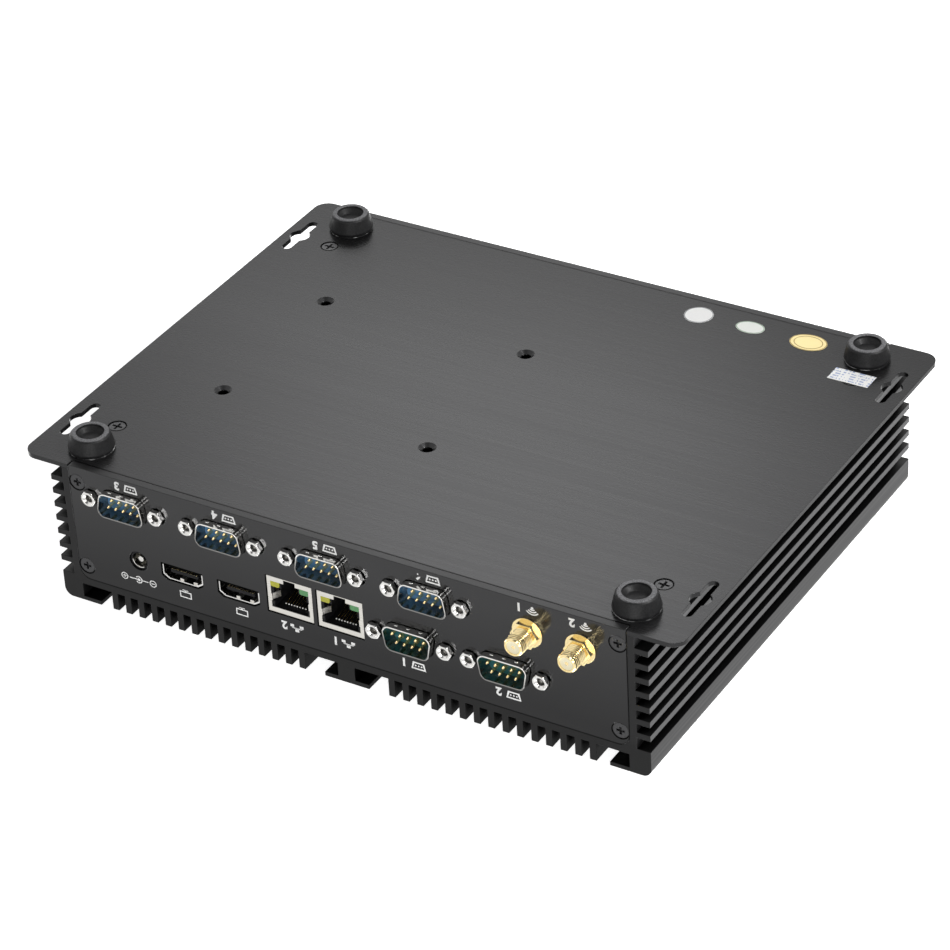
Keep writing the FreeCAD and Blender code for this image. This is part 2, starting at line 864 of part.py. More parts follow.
def antenna_socket(x):
    tip_y = front_y - antenna_reach
    collar_back_y = tip_y + antenna_collar_length
    shoulder_y = inner_front_y + antenna_shoulder_thickness
    tip = Part.makeCone(antenna_radius - antenna_tip_chamfer, antenna_radius, antenna_tip_chamfer,
                        Vector(x, tip_y, antenna_z), Vector(0, 1, 0))
    socket = tip.fuse(rod_y(antenna_radius, x, antenna_z, tip_y + antenna_tip_chamfer, collar_back_y))
    socket = socket.fuse(rod_y(antenna_thread_radius, x, antenna_z, collar_back_y, front_y))
    socket = socket.fuse(rod_y(antenna_radius, x, antenna_z, front_y, inner_front_y))
    socket = socket.fuse(rod_y(antenna_shoulder_radius, x, antenna_z, inner_front_y, shoulder_y))
    socket = socket.fuse(rod_y(antenna_tail_radius, x, antenna_z,
                               shoulder_y, shoulder_y + antenna_tail_length))
    socket = socket.cut(rod_y(antenna_bore_radius, x, antenna_z, tip_y, tip_y + antenna_bore_depth))
    contact = rod_y(antenna_contact_radius, x, antenna_z,
                    tip_y + antenna_insulator_recess, tip_y + antenna_bore_depth)
    return socket.fuse(contact)


def antenna_insulator(x):
    mouth_y = front_y - antenna_reach + antenna_insulator_recess
    back_y = front_y - antenna_reach + antenna_bore_depth
    disc = rod_y(antenna_bore_radius, x, antenna_z, mouth_y, back_y)
    return disc.cut(rod_y(antenna_contact_radius, x, antenna_z, mouth_y, back_y))


def antenna_washer(x):
    washer = rod_y(antenna_washer_radius, x, antenna_z, front_y - antenna_washer_thickness, front_y)
    return washer.cut(rod_y(antenna_radius, x, antenna_z, front_y - antenna_washer_thickness, front_y))


def antenna_nut(x):
    back_y = front_y - antenna_washer_thickness
    nut = hexagon_y(antenna_nut_flats, x, antenna_z, back_y - antenna_nut_thickness, back_y)
    return nut.cut(rod_y(antenna_thread_radius, x, antenna_z, back_y - antenna_nut_thickness, back_y))


# Switch panel's fittings

def button_front_y():
    """The step in the housing that the button's collar rests against when it is out."""
    return rear_y - button_retainer_length


def power_button():
    face_y = rear_y + button_reach
    inner_y = face_y - button_length
    cap = rod_y(button_radius, button_x, button_z, inner_y, face_y)
    rim = [edge for edge in cap.Edges if abs(edge.CenterOfMass.y - face_y) < 1e-6]
    cap = cap.makeFillet(button_edge_round, rim)
    collar = rod_y(button_radius + button_retainer_step, button_x, button_z, inner_y,
                   button_front_y() - button_stop_gap)
    return cap.fuse(collar)


def button_housing():
    """A threaded barrel with a bezel outside, a nut inside and a stepped bore for the button."""
    bezel_y = rear_y + housing_bezel_thickness
    back_y = rear_y - housing_length
    bore_end_y = rear_y + button_reach - button_length - button_travel - button_stop_gap
    barrel = rod_y(housing_radius, button_x, button_z, back_y, bezel_y)
    bezel = rod_y(housing_bezel_radius, button_x, button_z, rear_y, bezel_y)
    nut_y = inner_rear_y - housing_nut_thickness
    nut = hexagon_y(housing_nut_flats, button_x, button_z, nut_y, inner_rear_y)
    housing = barrel.fuse(bezel).fuse(nut)
    bore_radius = button_radius + button_running_gap
    housing = housing.cut(rod_y(bore_radius, button_x, button_z, bore_end_y, bezel_y))
    collar_radius = bore_radius + button_retainer_step
    return housing.cut(rod_y(collar_radius, button_x, button_z, bore_end_y, button_front_y()))


def status_lamp(x):
    lens = rod_y(lamp_radius, x, button_z, inner_rear_y - lamp_length, rear_y + lamp_reach)
    tip = [edge for edge in lens.Edges if abs(edge.CenterOfMass.y - rear_y - lamp_reach) < 1e-6]
    lens = lens.makeFillet(lamp_round, tip)
    flange = rod_y(lamp_radius + lamp_flange_step, x, button_z,
                   inner_rear_y - lamp_flange_thickness, inner_rear_y)
    return lens.fuse(flange)


def usb_levels():
    """The middles of the two ports in a stack, lower first."""
    quarter = usb_height / 4
    return [board_z - 3 * quarter, board_z - quarter]


def usb_port(x, z, y_low, y_high):
    half_width = usb_width / 2 - usb_sheet
    half_height = usb_port_height / 2
    return box(x - half_width, x + half_width, y_low, y_high, z - half_height, z + half_height)


def usb_shell(x):
    mouth_y = rear_y - usb_recess
    half_width = usb_width / 2
    shell = box(x - half_width, x + half_width, mouth_y - usb_depth, mouth_y, board_z - usb_height, board_z)
    for z in usb_levels():
        shell = shell.cut(usb_port(x, z, mouth_y - usb_depth + usb_sheet, mouth_y))
    return shell


def usb_tongue(x, z):
    mouth_y = rear_y - usb_recess
    back_y = mouth_y - usb_depth + usb_sheet
    half_width = usb_tongue_width / 2
    root = usb_port(x, z, back_y, back_y + usb_back_wall)
    blade = box(x - half_width, x + half_width, back_y, mouth_y - usb_tongue_recess,
                z - usb_tongue_thickness / 2, z + usb_tongue_thickness / 2)
    return root.fuse(blade)


def audio_jack(x):
    z = board_z - audio_barrel_drop
    half_width = audio_body_width / 2
    body = box(x - half_width, x + half_width, inner_rear_y - audio_body_depth, inner_rear_y,
               board_z - audio_body_height, board_z)
    barrel = rod_y(audio_barrel_radius, x, z, inner_rear_y, rear_y - audio_barrel_recess)
    mouth_y = rear_y - audio_barrel_recess
    return body.fuse(barrel).cut(rod_y(audio_bore_radius, x, z, mouth_y - audio_bore_depth, mouth_y))


# End panels

def port_panel():
    panel = panel_blank(panel_clearance, front_y, inner_front_y, panel_foot_radius)
    for seat in panel_screw_places(front_y):
        panel = panel.cut(screw_seat(seat, front_inward))
    for x, z, wide_side_up in serial_places():
        panel = panel.cut(plug_outline(x, z, wide_side_up, -shell_clearance, front_y, inner_front_y))
        hole_radius = hexagon_corner(jackscrew_flats) + jackscrew_clearance
        for stud_x, stud_z in jackscrew_places(x, z):
            panel = panel.cut(rod_y(hole_radius, stud_x, stud_z, front_y, inner_front_y))
    low_z, high_z = network_levels()
    half_width = network_width / 2 + network_clearance
    for x in network_x:
        panel = panel.cut(box(x - half_width, x + half_width, front_y, inner_front_y,
                              low_z - network_clearance, high_z + network_clearance))
    for x in video_x:
        panel = panel.cut(video_outline(x, -video_clearance, front_y, inner_front_y))
    panel = panel.cut(rod_y(jack_hole_radius, jack_x, jack_z, front_y, inner_front_y))
    for x in antenna_places():
        hole_radius = antenna_radius + antenna_hole_clearance
        panel = panel.cut(rod_y(hole_radius, x, antenna_z, front_y, inner_front_y))
    return panel


def switch_panel():
    panel = panel_blank(panel_clearance, inner_rear_y, rear_y, panel_foot_radius)
    for seat in panel_screw_places(rear_y):
        panel = panel.cut(screw_seat(seat, rear_inward))
    hole_radius = housing_radius + housing_hole_clearance
    panel = panel.cut(rod_y(hole_radius, button_x, button_z, inner_rear_y, rear_y))
    for x in lamp_x:
        panel = panel.cut(rod_y(lamp_radius + lamp_hole_clearance, x, button_z, inner_rear_y, rear_y))
    half_width = usb_width / 2 + usb_clearance
    for x in usb_x:
        panel = panel.cut(box(x - half_width, x + half_width, inner_rear_y, rear_y,
                              board_z - usb_height - usb_clearance, board_z + usb_clearance))
    for x in audio_x:
        hole_radius = audio_barrel_radius + audio_clearance
        panel = panel.cut(rod_y(hole_radius, x, board_z - audio_barrel_drop, inner_rear_y, rear_y))
    return panel


# Main board and what it carries

def board_hole_places():
    x = board_half_width - board_hole_inset
    ends = (front_y + board_front_hole_setback, board_rear_y - board_rear_hole_inset)
    return [(side * x, y) for side in (-1, 1) for y in ends]


def main_board():
    board = box(-board_half_width, board_half_width, board_front_y, board_rear_y, board_z, board_top_z)
    for x, y in board_hole_places():
        board = board.cut(rod_z(screw_shank_radius + screw_clearance, x, y, board_z, board_top_z))
    return board


def standoff(x, y):
    post = rod_z(standoff_radius, x, y, board_top_z, ceiling_z)
    return post.cut(rod_z(screw_shank_radius, x, y, board_top_z, ceiling_z))


def board_screw(x, y):
    head = rod_z(board_screw_head_radius, x, y, board_z - board_screw_head_height, board_z)
    shank = rod_z(screw_shank_radius, x, y, board_z, ceiling_z - screw_point_gap)
    return head.fuse(shank)


def chip_y():
    return front_y + chip_setback


def processor():
    half_width = processor_width / 2
    y = chip_y()
    return box(-half_width, half_width, y - half_width, y + half_width,
               board_top_z, board_top_z + processor_height)


def heat_spreader():
    y = chip_y()
    return box(-spreader_width / 2, spreader_width / 2, y - spreader_depth / 2, y + spreader_depth / 2,
               board_top_z + processor_height, ceiling_z)


def memory_module():
    y_low = front_y + memory_setback
    high_z = board_z - memory_drop
    return box(memory_x - memory_width / 2, memory_x + memory_width / 2, y_low, y_low + memory_depth,
               high_z - memory_thickness, high_z)


def card(x, setback, width, depth):
    y_low = front_y + setback
    high_z = board_z - card_drop
    return box(x - width / 2, x + width / 2, y_low, y_low + depth, high_z - card_thickness, high_z)


def memory_socket():
    y_low = front_y + memory_setback - memory_socket_depth + memory_edge_engagement
    half_width = memory_socket_width / 2
    return box(memory_x - half_width, memory_x + half_width, y_low, y_low + memory_socket_depth,
               board_z - memory_socket_height, board_z)


def card_socket(x, setback, width):
    y_low = front_y + setback - card_socket_depth + card_engagement
    return box(x - width / 2, x + width / 2, y_low, y_low + card_socket_depth,
               board_z - card_socket_height, board_z)


def cell_place():
    """The cell's middle, its holder standing clear of the sound sockets."""
    return cell_x, inner_rear_y - audio_body_depth - cell_gap - cell_holder_wall - cell_radius


def coin_cell():
    x, y = cell_place()
    high_z = board_z - cell_holder_floor
    return rod_z(cell_radius, x, y, high_z - cell_thickness, high_z)


def cell_holder():
    x, y = cell_place()
    return rod_z(cell_radius + cell_holder_wall, x, y, board_z - cell_holder_height, board_z)


def header_y():
    return front_y + header_setback


def plug_header(x):
    y = header_y()
    return box(x - header_width / 2, x + header_width / 2, y - header_depth / 2, y + header_depth / 2,
               board_z - header_height, board_z)


def board_sockets():
    """Memory, storage and radio sockets, the cell's holder and the serial headers."""
    storage = card(storage_x, storage_setback, storage_width, storage_depth)
    radio = card(radio_x, radio_setback, radio_width, radio_depth)
    sockets = [
        memory_socket().cut(memory_module()),
        card_socket(storage_x, storage_setback, storage_width).cut(storage),
        card_socket(radio_x, radio_setback, radio_width).cut(radio),
        cell_holder().cut(coin_cell()),
    ]
    sockets += [plug_header(x) for x, z, wide_side_up in serial_places() if wide_side_up]
    return Part.makeCompound(sockets)


def serial_ribbon(x, z):
    """A flat lead that runs back from a plug and turns up into its header."""
    back_y = front_y + insert_depth
    turn_y = header_y()
    header_z = board_z - header_height
    inner_radius = ribbon_bend_radius - ribbon_thickness / 2
    outer_radius = ribbon_bend_radius + ribbon_thickness / 2
    centre = Vector(x - ribbon_width / 2, turn_y - ribbon_bend_radius, z + ribbon_bend_radius)

    def on_arc(radius, angle):
        turn = math.radians(angle)
        return centre + Vector(0, radius * math.cos(turn), radius * math.sin(turn))

    left = centre.x
    plug_outer = Vector(left, back_y, z - ribbon_thickness / 2)
    plug_inner = Vector(left, back_y, z + ribbon_thickness / 2)
    header_outer = Vector(left, turn_y + ribbon_thickness / 2, header_z)
    header_inner = Vector(left, turn_y - ribbon_thickness / 2, header_z)
    outline = [
        Part.LineSegment(plug_outer, on_arc(outer_radius, -90)).toShape(),
        Part.Arc(on_arc(outer_radius, -90), on_arc(outer_radius, -45), on_arc(outer_radius, 0)).toShape(),
        Part.LineSegment(on_arc(outer_radius, 0), header_outer).toShape(),
        Part.LineSegment(header_outer, header_inner).toShape(),
        Part.LineSegment(header_inner, on_arc(inner_radius, 0)).toShape(),
        Part.Arc(on_arc(inner_radius, 0), on_arc(inner_radius, -45), on_arc(inner_radius, -90)).toShape(),
        Part.LineSegment(on_arc(inner_radius, -90), plug_inner).toShape(),
        Part.LineSegment(plug_inner, plug_outer).toShape(),
    ]
    return Part.Face(Part.Wire(outline)).extrude(Vector(ribbon_width, 0, 0))


def antenna_lead(x):
    """A thin round lead from an antenna socket's tail back and up to the radio card."""
    start_y = inner_front_y + antenna_shoulder_thickness + antenna_tail_length
    end_y = front_y + radio_setback + lead_end_inset
    bend_y = end_y - lead_bend_radius
    bend_z = antenna_z + lead_bend_radius
    end_z = board_z - card_drop - card_thickness
    lead = rod_y(lead_radius, x, antenna_z, start_y, bend_y)
    circle = Part.makeCircle(lead_radius, Vector(x, bend_y, antenna_z), Vector(0, 1, 0))
    section = Part.Face(Part.Wire(circle))
    lead = lead.fuse(section.revolve(Vector(x, bend_y, bend_z), Vector(1, 0, 0), 90))
    return lead.fuse(rod_z(lead_radius, x, end_y, bend_z, end_z))


def nodes():
    pieces = {
        "heat_sink_case": heat_sink_case(),
        "base_plate": base_plate(),
        "port_panel": port_panel(),
        "switch_panel": switch_panel(),
    }
    for number, (x, y) in enumerate(foot_places(), 1):
        pieces[f"foot_{number}"] = foot(x, y)
    groups = {
        "plate_screws": [countersunk_screw(seat, upward) for seat in plate_screw_places()],
        "port_panel_screws": [countersunk_screw(seat, front_inward) for seat in panel_screw_places(front_y)],
        "switch_panel_screws": [countersunk_screw(seat, rear_inward) for seat in panel_screw_places(rear_y)],
        "serial_pins": [],
        "jackscrews": [],
    }
    for number, (x, z, wide_side_up) in enumerate(serial_places(), 1):
        pieces[f"serial_shell_{number}"] = serial_shell(x, z, wide_side_up)
        pieces[f"serial_insert_{number}"] = serial_insert(x, z, wide_side_up)
        reach = pin_low_row_reach if wide_side_up else pin_high_row_reach
        groups["serial_pins"] += [serial_pin(*place, reach) for place in pin_places(x, z, wide_side_up)]
        groups["jackscrews"] += [jackscrew(stud_x, stud_z) for stud_x, stud_z in jackscrew_places(x, z)]
    for number, x in enumerate(network_x, 1):
        pieces[f"network_shell_{number}"] = network_shell(x)
        pieces[f"network_body_{number}"] = network_body(x)
    groups["network_contacts"] = [network_contact(place) for x in network_x for place in contact_places(x)]
    groups["network_lamps_yellow"] = [network_lamp(x, 1) for x in network_x]
    groups["network_lamps_green"] = [network_lamp(x, -1) for x in network_x]
    for number, x in enumerate(video_x, 1):
        pieces[f"video_shell_{number}"] = video_shell(x)
    groups["video_tongues"] = [video_tongue(x) for x in video_x]
    pieces["power_jack"] = power_jack()
    pieces["power_jack_sleeve"] = power_jack_sleeve()
    for number, x in enumerate(antenna_places(), 1):
        pieces[f"antenna_socket_{number}"] = antenna_socket(x)
    groups["antenna_insulators"] = [antenna_insulator(x) for x in antenna_places()]
    groups["antenna_washers"] = [antenna_washer(x) for x in antenna_places()]
    groups["antenna_nuts"] = [antenna_nut(x) for x in antenna_places()]
    pieces["power_button"] = power_button()
    pieces["button_housing"] = button_housing()
    groups["status_lamps"] = [status_lamp(x) for x in lamp_x]
    groups["usb_shells"] = [usb_shell(x) for x in usb_x]
    groups["usb_tongues"] = [usb_tongue(x, z) for x in usb_x for z in usb_levels()]
    groups["audio_jacks"] = [audio_jack(x) for x in audio_x]
    pieces["main_board"] = main_board()
    pieces["board_sockets"] = board_sockets()
    pieces["processor"] = processor()
    pieces["heat_spreader"] = heat_spreader()
    pieces["memory_module"] = memory_module()
    pieces["storage_card"] = card(storage_x, storage_setback, storage_width, storage_depth)
    pieces["radio_card"] = card(radio_x, radio_setback, radio_width, radio_depth)
    pieces["coin_cell"] = coin_cell()
    groups["standoffs"] = [standoff(x, y) for x, y in board_hole_places()]
    groups["board_screws"] = [board_screw(x, y) for x, y in board_hole_places()]
    groups["serial_ribbons"] = [serial_ribbon(x, z) for x, z, wide_side_up in serial_places() if wide_side_up]
    groups["antenna_leads"] = [antenna_lead(x) for x in antenna_places()]
    for name, solids in groups.items():
        pieces[name] = Part.makeCompound(solids)
    return pieces


os.makedirs("parts", exist_ok=True)
for name, shape in nodes().items():
    shape.exportStep(os.path.join("parts", name + ".step"))
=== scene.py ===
import json
import math

import bmesh
import bpy
from mathutils import Matrix, Vector


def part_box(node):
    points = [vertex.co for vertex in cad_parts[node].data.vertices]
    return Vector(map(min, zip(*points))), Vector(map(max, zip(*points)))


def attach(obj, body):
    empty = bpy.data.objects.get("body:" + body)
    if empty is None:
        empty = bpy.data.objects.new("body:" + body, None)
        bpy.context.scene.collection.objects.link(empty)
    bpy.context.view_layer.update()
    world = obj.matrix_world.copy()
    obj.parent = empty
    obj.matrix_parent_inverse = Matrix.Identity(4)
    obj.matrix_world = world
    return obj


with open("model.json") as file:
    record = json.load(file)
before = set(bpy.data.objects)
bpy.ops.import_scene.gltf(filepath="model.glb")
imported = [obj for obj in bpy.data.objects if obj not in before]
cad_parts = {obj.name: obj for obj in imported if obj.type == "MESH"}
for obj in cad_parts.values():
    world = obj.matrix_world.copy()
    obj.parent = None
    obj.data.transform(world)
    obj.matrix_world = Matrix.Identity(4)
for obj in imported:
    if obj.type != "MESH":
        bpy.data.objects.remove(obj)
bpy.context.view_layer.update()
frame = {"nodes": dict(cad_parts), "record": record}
nodes = frame["nodes"]
mm = 0.001

# Planes of the part, in millimetres
panel_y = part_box("port_panel")[0].y / mm
plate_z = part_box("base_plate")[0].z / mm
fin_top_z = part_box("heat_sink_case")[1].z / mm


# Camera at the photograph's viewing angle

def place_camera():
    camera = bpy.data.cameras.new("photo_camera")
    camera.sensor_width = 36.0
    camera.lens = 148.788
    camera.clip_start = 0.05
    camera.clip_end = 60.0
    holder = bpy.data.objects.new("photo_camera", camera)
    right = Vector((-0.8609740, 0.5064025, 0.0477510))
    up = Vector((0.2432775, 0.4924141, -0.8356700))
    back = right.cross(up)
    turn = Matrix((right, up, back)).transposed().to_4x4()
    holder.matrix_world = Matrix.Translation(Vector((-0.558727, -0.889983, -0.656009))) @ turn
    bpy.context.scene.collection.objects.link(holder)
    bpy.context.scene.camera = holder


# Node helpers

class Surface:
    """A material whose nodes are added one after another."""

    def __init__(self, name, color, metallic, roughness):
        self.material = bpy.data.materials.new(name)
        self.material.use_nodes = True
        self.tree = self.material.node_tree
        self.shader = self.tree.nodes["Principled BSDF"]
        self.color = color
        self.shader.inputs["Base Color"].default_value = (*color, 1.0)
        self.shader.inputs["Metallic"].default_value = metallic
        self.shader.inputs["Roughness"].default_value = roughness
        self.roughness = roughness
        self.normal = None
        self.place = self.add("ShaderNodeTexCoord").outputs["Object"]

    def add(self, kind, **inputs):
        node = self.tree.nodes.new(kind)
        for name, value in inputs.items():
            self.feed(node.inputs[name.replace("_", " ")], value)
        return node

    def feed(self, socket, value):
        if isinstance(value, bpy.types.NodeSocket):
            self.tree.links.new(value, socket)
        else:
            socket.default_value = value

    def noise(self, stretch, detail=3.0):
        """Noise whose cells are 1/stretch metres long each way."""
        mapping = self.add("ShaderNodeMapping", Vector=self.place, Scale=stretch)
        texture = self.add("ShaderNodeTexNoise", Vector=mapping.outputs["Vector"], Scale=1.0, Detail=detail)
        return texture.outputs["Fac"]

    def span(self, value, low, high, start=0.35, end=0.65):
        """Goes from low to high while the value goes from start to end."""
        node = self.add("ShaderNodeMapRange", Value=value)
        for name, number in (("From Min", start), ("From Max", end), ("To Min", low), ("To Max", high)):
            node.inputs[name].default_value = number
        return node.outputs["Result"]

    def shade(self, value, low, high):
        """Varies the colour between two multiples of itself."""
        mix = self.add("ShaderNodeMix")
        mix.data_type = "RGBA"
        self.tree.links.new(value, mix.inputs[0])
        mix.inputs[6].default_value = (*[c * low for c in self.color], 1.0)
        mix.inputs[7].default_value = (*[c * high for c in self.color], 1.0)
        self.tree.links.new(mix.outputs[2], self.shader.inputs["Base Color"])
        return mix

    def paint_gap_shade(self, reach, share):
        """Painted shade: darkens the colour to a share, and dulls its gloss, where the surface lies in a gap.
        """
        node = self.add("ShaderNodeAmbientOcclusion", Distance=reach)
        node.samples = 6
        node.only_local = True
        self.multiply(self.span(node.outputs["AO"], share, 1.0, 0.4, 0.9))
        gloss = self.span(node.outputs["AO"], 0.0, 0.5, 0.35, 0.85)
        self.feed(self.shader.inputs["Specular IOR Level"], gloss)

    def combine(self, operation, first, second):
        node = self.add("ShaderNodeMath")
        node.operation = operation
        self.feed(node.inputs[0], first)
        self.feed(node.inputs[1], second)
        return node.outputs[0]

    def larger(self, first, second):
        return self.combine("MAXIMUM", first, second)

    def vector_math(self, operation, first, second=None):
        node = self.add("ShaderNodeVectorMath")
        node.operation = operation
        self.feed(node.inputs[0], first)
        if second is not None:
            self.feed(node.inputs[1], second)
        return node.outputs["Value" if operation in ("LENGTH", "DOT_PRODUCT") else "Vector"]

    def split(self, vector):
        """The vector's X, Y and Z."""
        return self.add("ShaderNodeSeparateXYZ", Vector=vector).outputs

    def sizes(self, vector):
        """The vector's X, Y and Z without their signs."""
        return self.split(self.vector_math("ABSOLUTE", vector))

    def height(self):
        return self.split(self.place)["Z"]

    def scale_gloss(self, factor):
        socket = self.shader.inputs["Specular IOR Level"]
        self.feed(socket, self.combine("MULTIPLY", socket.links[0].from_socket, factor))

    def add_roughness(self, value):
        socket = self.shader.inputs["Roughness"]
        self.feed(socket, self.combine("ADD", socket.links[0].from_socket, value))

    def multiply(self, factor):
        """Multiplies the colour by a factor."""
        mix = self.add("ShaderNodeMix")
        mix.data_type = "RGBA"
        mix.blend_type = "MULTIPLY"
        mix.inputs[0].default_value = 1.0
        source = self.shader.inputs["Base Color"].links[0].from_socket
        self.tree.links.new(source, mix.inputs[6])
        self.tree.links.new(factor, mix.inputs[7])
        self.tree.links.new(mix.outputs[2], self.shader.inputs["Base Color"])

    def shift_upwards(self, low, high, share):
        """Takes the colour to a multiple of itself between two heights."""
        self.multiply(self.span(self.height(), 1.0, share, low, high))

    def roughen(self, value, spread):
        """Varies the roughness by a spread to both sides."""
        result = self.span(value, self.roughness - spread, self.roughness + spread)
        self.tree.links.new(result, self.shader.inputs["Roughness"])

    def bump(self, height, distance, strength=1.0):
        node = self.add("ShaderNodeBump", Height=height, Distance=distance, Strength=strength)
        if self.normal is not None:
            self.tree.links.new(self.normal, node.inputs["Normal"])
        self.normal = node.outputs["Normal"]
        self.tree.links.new(self.normal, self.shader.inputs["Normal"])

    def soften_edges(self, radius):
        node = self.add("ShaderNodeBevel", Radius=radius)
        node.samples = 6
        self.normal = node.outputs["Normal"]
        self.tree.links.new(self.normal, self.shader.inputs["Normal"])


# Materials

even_grain = (900.0, 900.0, 900.0)


def extruded_metal():
    """Black anodised metal, with painted shade on faces turned neither sideways nor up, such as the sawn
    ends, in hollows, near the top and between the top fins, and painted light near the plate.
    """
    low_band = (12.0 * mm, 32.0 * mm)
    high_band = (45.5 * mm, 47.5 * mm)
    fin_band = (48.5 * mm, 49.5 * mm)
    fin_field_edge = (98.5 * mm, 99.5 * mm)
    s = Surface("extruded_metal", (0.062, 0.062, 0.064), 0.0, 0.38)
    s.soften_edges(0.25 * mm)
    lines = s.noise((1400.0, 5.0, 1400.0))
    cloud = s.noise((30.0, 12.0, 30.0), 2.0)
    s.shade(cloud, 0.85, 1.15)
    # Painted shade: faces turned neither sideways nor up are darker, in colour and gloss
    normal = s.add("ShaderNodeNewGeometry").outputs["Normal"]
    upward = s.split(normal)["Z"]
    flank = s.sizes(normal)["X"]
    lit_faces = s.larger(flank, upward)
    s.multiply(s.span(lit_faces, 0.12, 1.0, 0.3, 0.7))
    s.paint_gap_shade(4.5 * mm, 0.02)
    # Painted shade near the top, except on faces turned up, and painted light near the plate
    s.multiply(s.larger(s.span(s.height(), 1.0, 0.33, *high_band), upward))
    s.multiply(s.span(s.height(), 1.5, 1.0, *low_band))
    s.scale_gloss(s.span(lit_faces, 0.5, 1.0, 0.3, 0.7))
    # Painted shade: the flanks of the top fins, which face each other, are darker still, in colour and gloss
    beyond_fins = s.span(s.sizes(s.place)["X"], 0.0, 1.0, *fin_field_edge)
    outside = s.larger(beyond_fins, s.span(flank, 1.0, 0.0, 0.3, 0.7))
    among_fins = s.larger(s.span(s.height(), 1.0, 0.1, *fin_band), outside)
    s.multiply(among_fins)
    s.scale_gloss(among_fins)
    s.roughen(lines, 0.06)
    s.bump(lines, 0.02 * mm, 0.5)
    return s.material


def brushed_plate():
    """Brushed sheet, with painted shade towards the back and as a dark seam along its edges over the two
    panels.
    """
    s = Surface("brushed_plate", (0.034, 0.034, 0.035), 0.75, 0.28)
    s.soften_edges(0.2 * mm)
    fine = s.noise((10.0, 2600.0, 2600.0), 4.0)
    broad = s.noise((3.0, 260.0, 260.0), 2.0)
    s.shade(broad, 0.96, 1.04)
    # Painted shade, darker towards the back
    s.multiply(s.span(s.split(s.place)["Y"], 1.0, 0.55, 20.0 * mm, 90.0 * mm))
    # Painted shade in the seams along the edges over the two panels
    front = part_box("port_panel")[1]
    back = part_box("switch_panel")[0]
    middle_y = (front.y + back.y) / 2
    reach = s.sizes(s.vector_math("ADD", s.place, (0.0, -middle_y, 0.0)))
    edge = middle_y - front.y - 0.15 * mm
    beside = s.span(reach["X"], 0.0, 1.0, front.x - 0.1 * mm, front.x)
    before = s.span(reach["Y"], 1.0, 0.0, edge - 0.5 * mm, edge - 0.35 * mm)
    s.multiply(s.span(s.larger(beside, before), 0.02, 1.0, 0.0, 1.0))
    s.roughen(fine, 0.015)
    s.bump(fine, 0.01 * mm, 0.06)
    return s.material


def satin_panel():
    """Satin black paint with painted shade: a dark line along its rim, darker towards the fins, and darker
    and duller right beside the plate.
    """
    corner = 4.0 * mm
    s = Surface("satin_panel", (0.048, 0.048, 0.049), 0.7, 0.12)
    s.soften_edges(0.2 * mm)
    grain = s.noise((2600.0, 2600.0, 2600.0), 2.0)
    cloud = s.noise((25.0, 25.0, 25.0), 2.0)
    s.shade(cloud, 0.9, 1.1)
    # Painted shade, darker towards the fins
    s.shift_upwards(12.0 * mm, 44.0 * mm, 0.5)
    low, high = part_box("port_panel")
    # Painted shade in the seam round the panel's rim
    centre = (high.x - corner, 1.0, high.z - corner)
    past = s.vector_math("SUBTRACT", s.vector_math("ABSOLUTE", s.place), centre)
    rim = s.vector_math("LENGTH", s.vector_math("MAXIMUM", past, (0.0, 0.0, 0.0)))
    s.multiply(s.span(rim, 1.0, 0.05, corner - 0.32 * mm, corner - 0.22 * mm))
    s.roughen(cloud, 0.02)
    # Painted shade on the edge face beside the plate, which is also rougher
    plate_edge = (low.z + 0.1 * mm, low.z + 0.3 * mm)
    s.add_roughness(s.span(s.height(), 0.22, 0.0, *plate_edge))
    s.multiply(s.span(s.height(), 0.6, 1.0, *plate_edge))
    s.bump(grain, 0.01 * mm, 0.1)
    return s.material


def rubber():
    s = Surface("foot_rubber", (0.125, 0.125, 0.13), 0.0, 0.5)
    s.shader.inputs["Specular IOR Level"].default_value = 0.22
    s.soften_edges(0.5 * mm)
    grain = s.noise(even_grain)
    s.shade(grain, 0.85, 1.2)
    s.roughen(grain, 0.07)
    s.shift_upwards(0.0, 0.3 * mm, 0.07)
    speck = s.noise((2400.0, 2400.0, 2400.0), 2.0)
    s.multiply(s.span(speck, 0.6, 1.6))
    s.bump(grain, 0.04 * mm, 0.4)
    return s.material


def dark_screw():
    s = Surface("blackened_screw", (0.062, 0.062, 0.064), 0.7, 0.34)
    s.soften_edges(0.15 * mm)
    grain = s.noise((1500.0, 1500.0, 1500.0), 2.0)
    s.shade(grain, 0.8, 1.25)
    s.roughen(grain, 0.08)
    return s.material


def bright_metal(name, color, roughness, spread=0.05, stretch=even_grain, depth=0.01, edge=0.12, hollow_shade=0.15):
    """Bare metal with painted shade in its hollows; the grain's depth and the edges' rounding are in
    millimetres.
    """
    s = Surface(name, color, 1.0, roughness)
    s.soften_edges(edge * mm)
    grain = s.noise(stretch)
    s.shade(grain, 0.9, 1.05)
    s.paint_gap_shade(1.2 * mm, hollow_shade)
    s.roughen(grain, spread)
    s.bump(grain, depth * mm, 0.4)
    return s.material


def shell_nickel():
    """Nickel with painted light, brightest along the side of the plate, and painted shade towards the
    opposite corner and in its hollows.
    """
    s = Surface("shell_nickel", (0.86, 0.85, 0.82), 1.0, 0.14)
    s.soften_edges(0.15 * mm)
    grain = s.noise(even_grain)
    s.shade(grain, 0.9, 1.05)
    s.paint_gap_shade(1.2 * mm, 0.05)
    # Painted light towards the plate's side, painted shade towards the opposite corner
    across = s.add("ShaderNodeTexCoord").outputs["Generated"]
    slope = s.vector_math("DOT_PRODUCT", across, (0.55, 0.0, 1.0))
    s.multiply(s.span(slope, 1.0, 0.3, 0.45, 1.0))
    s.roughen(grain, 0.05)
    s.bump(grain, 0.01 * mm, 0.4)
    return s.material


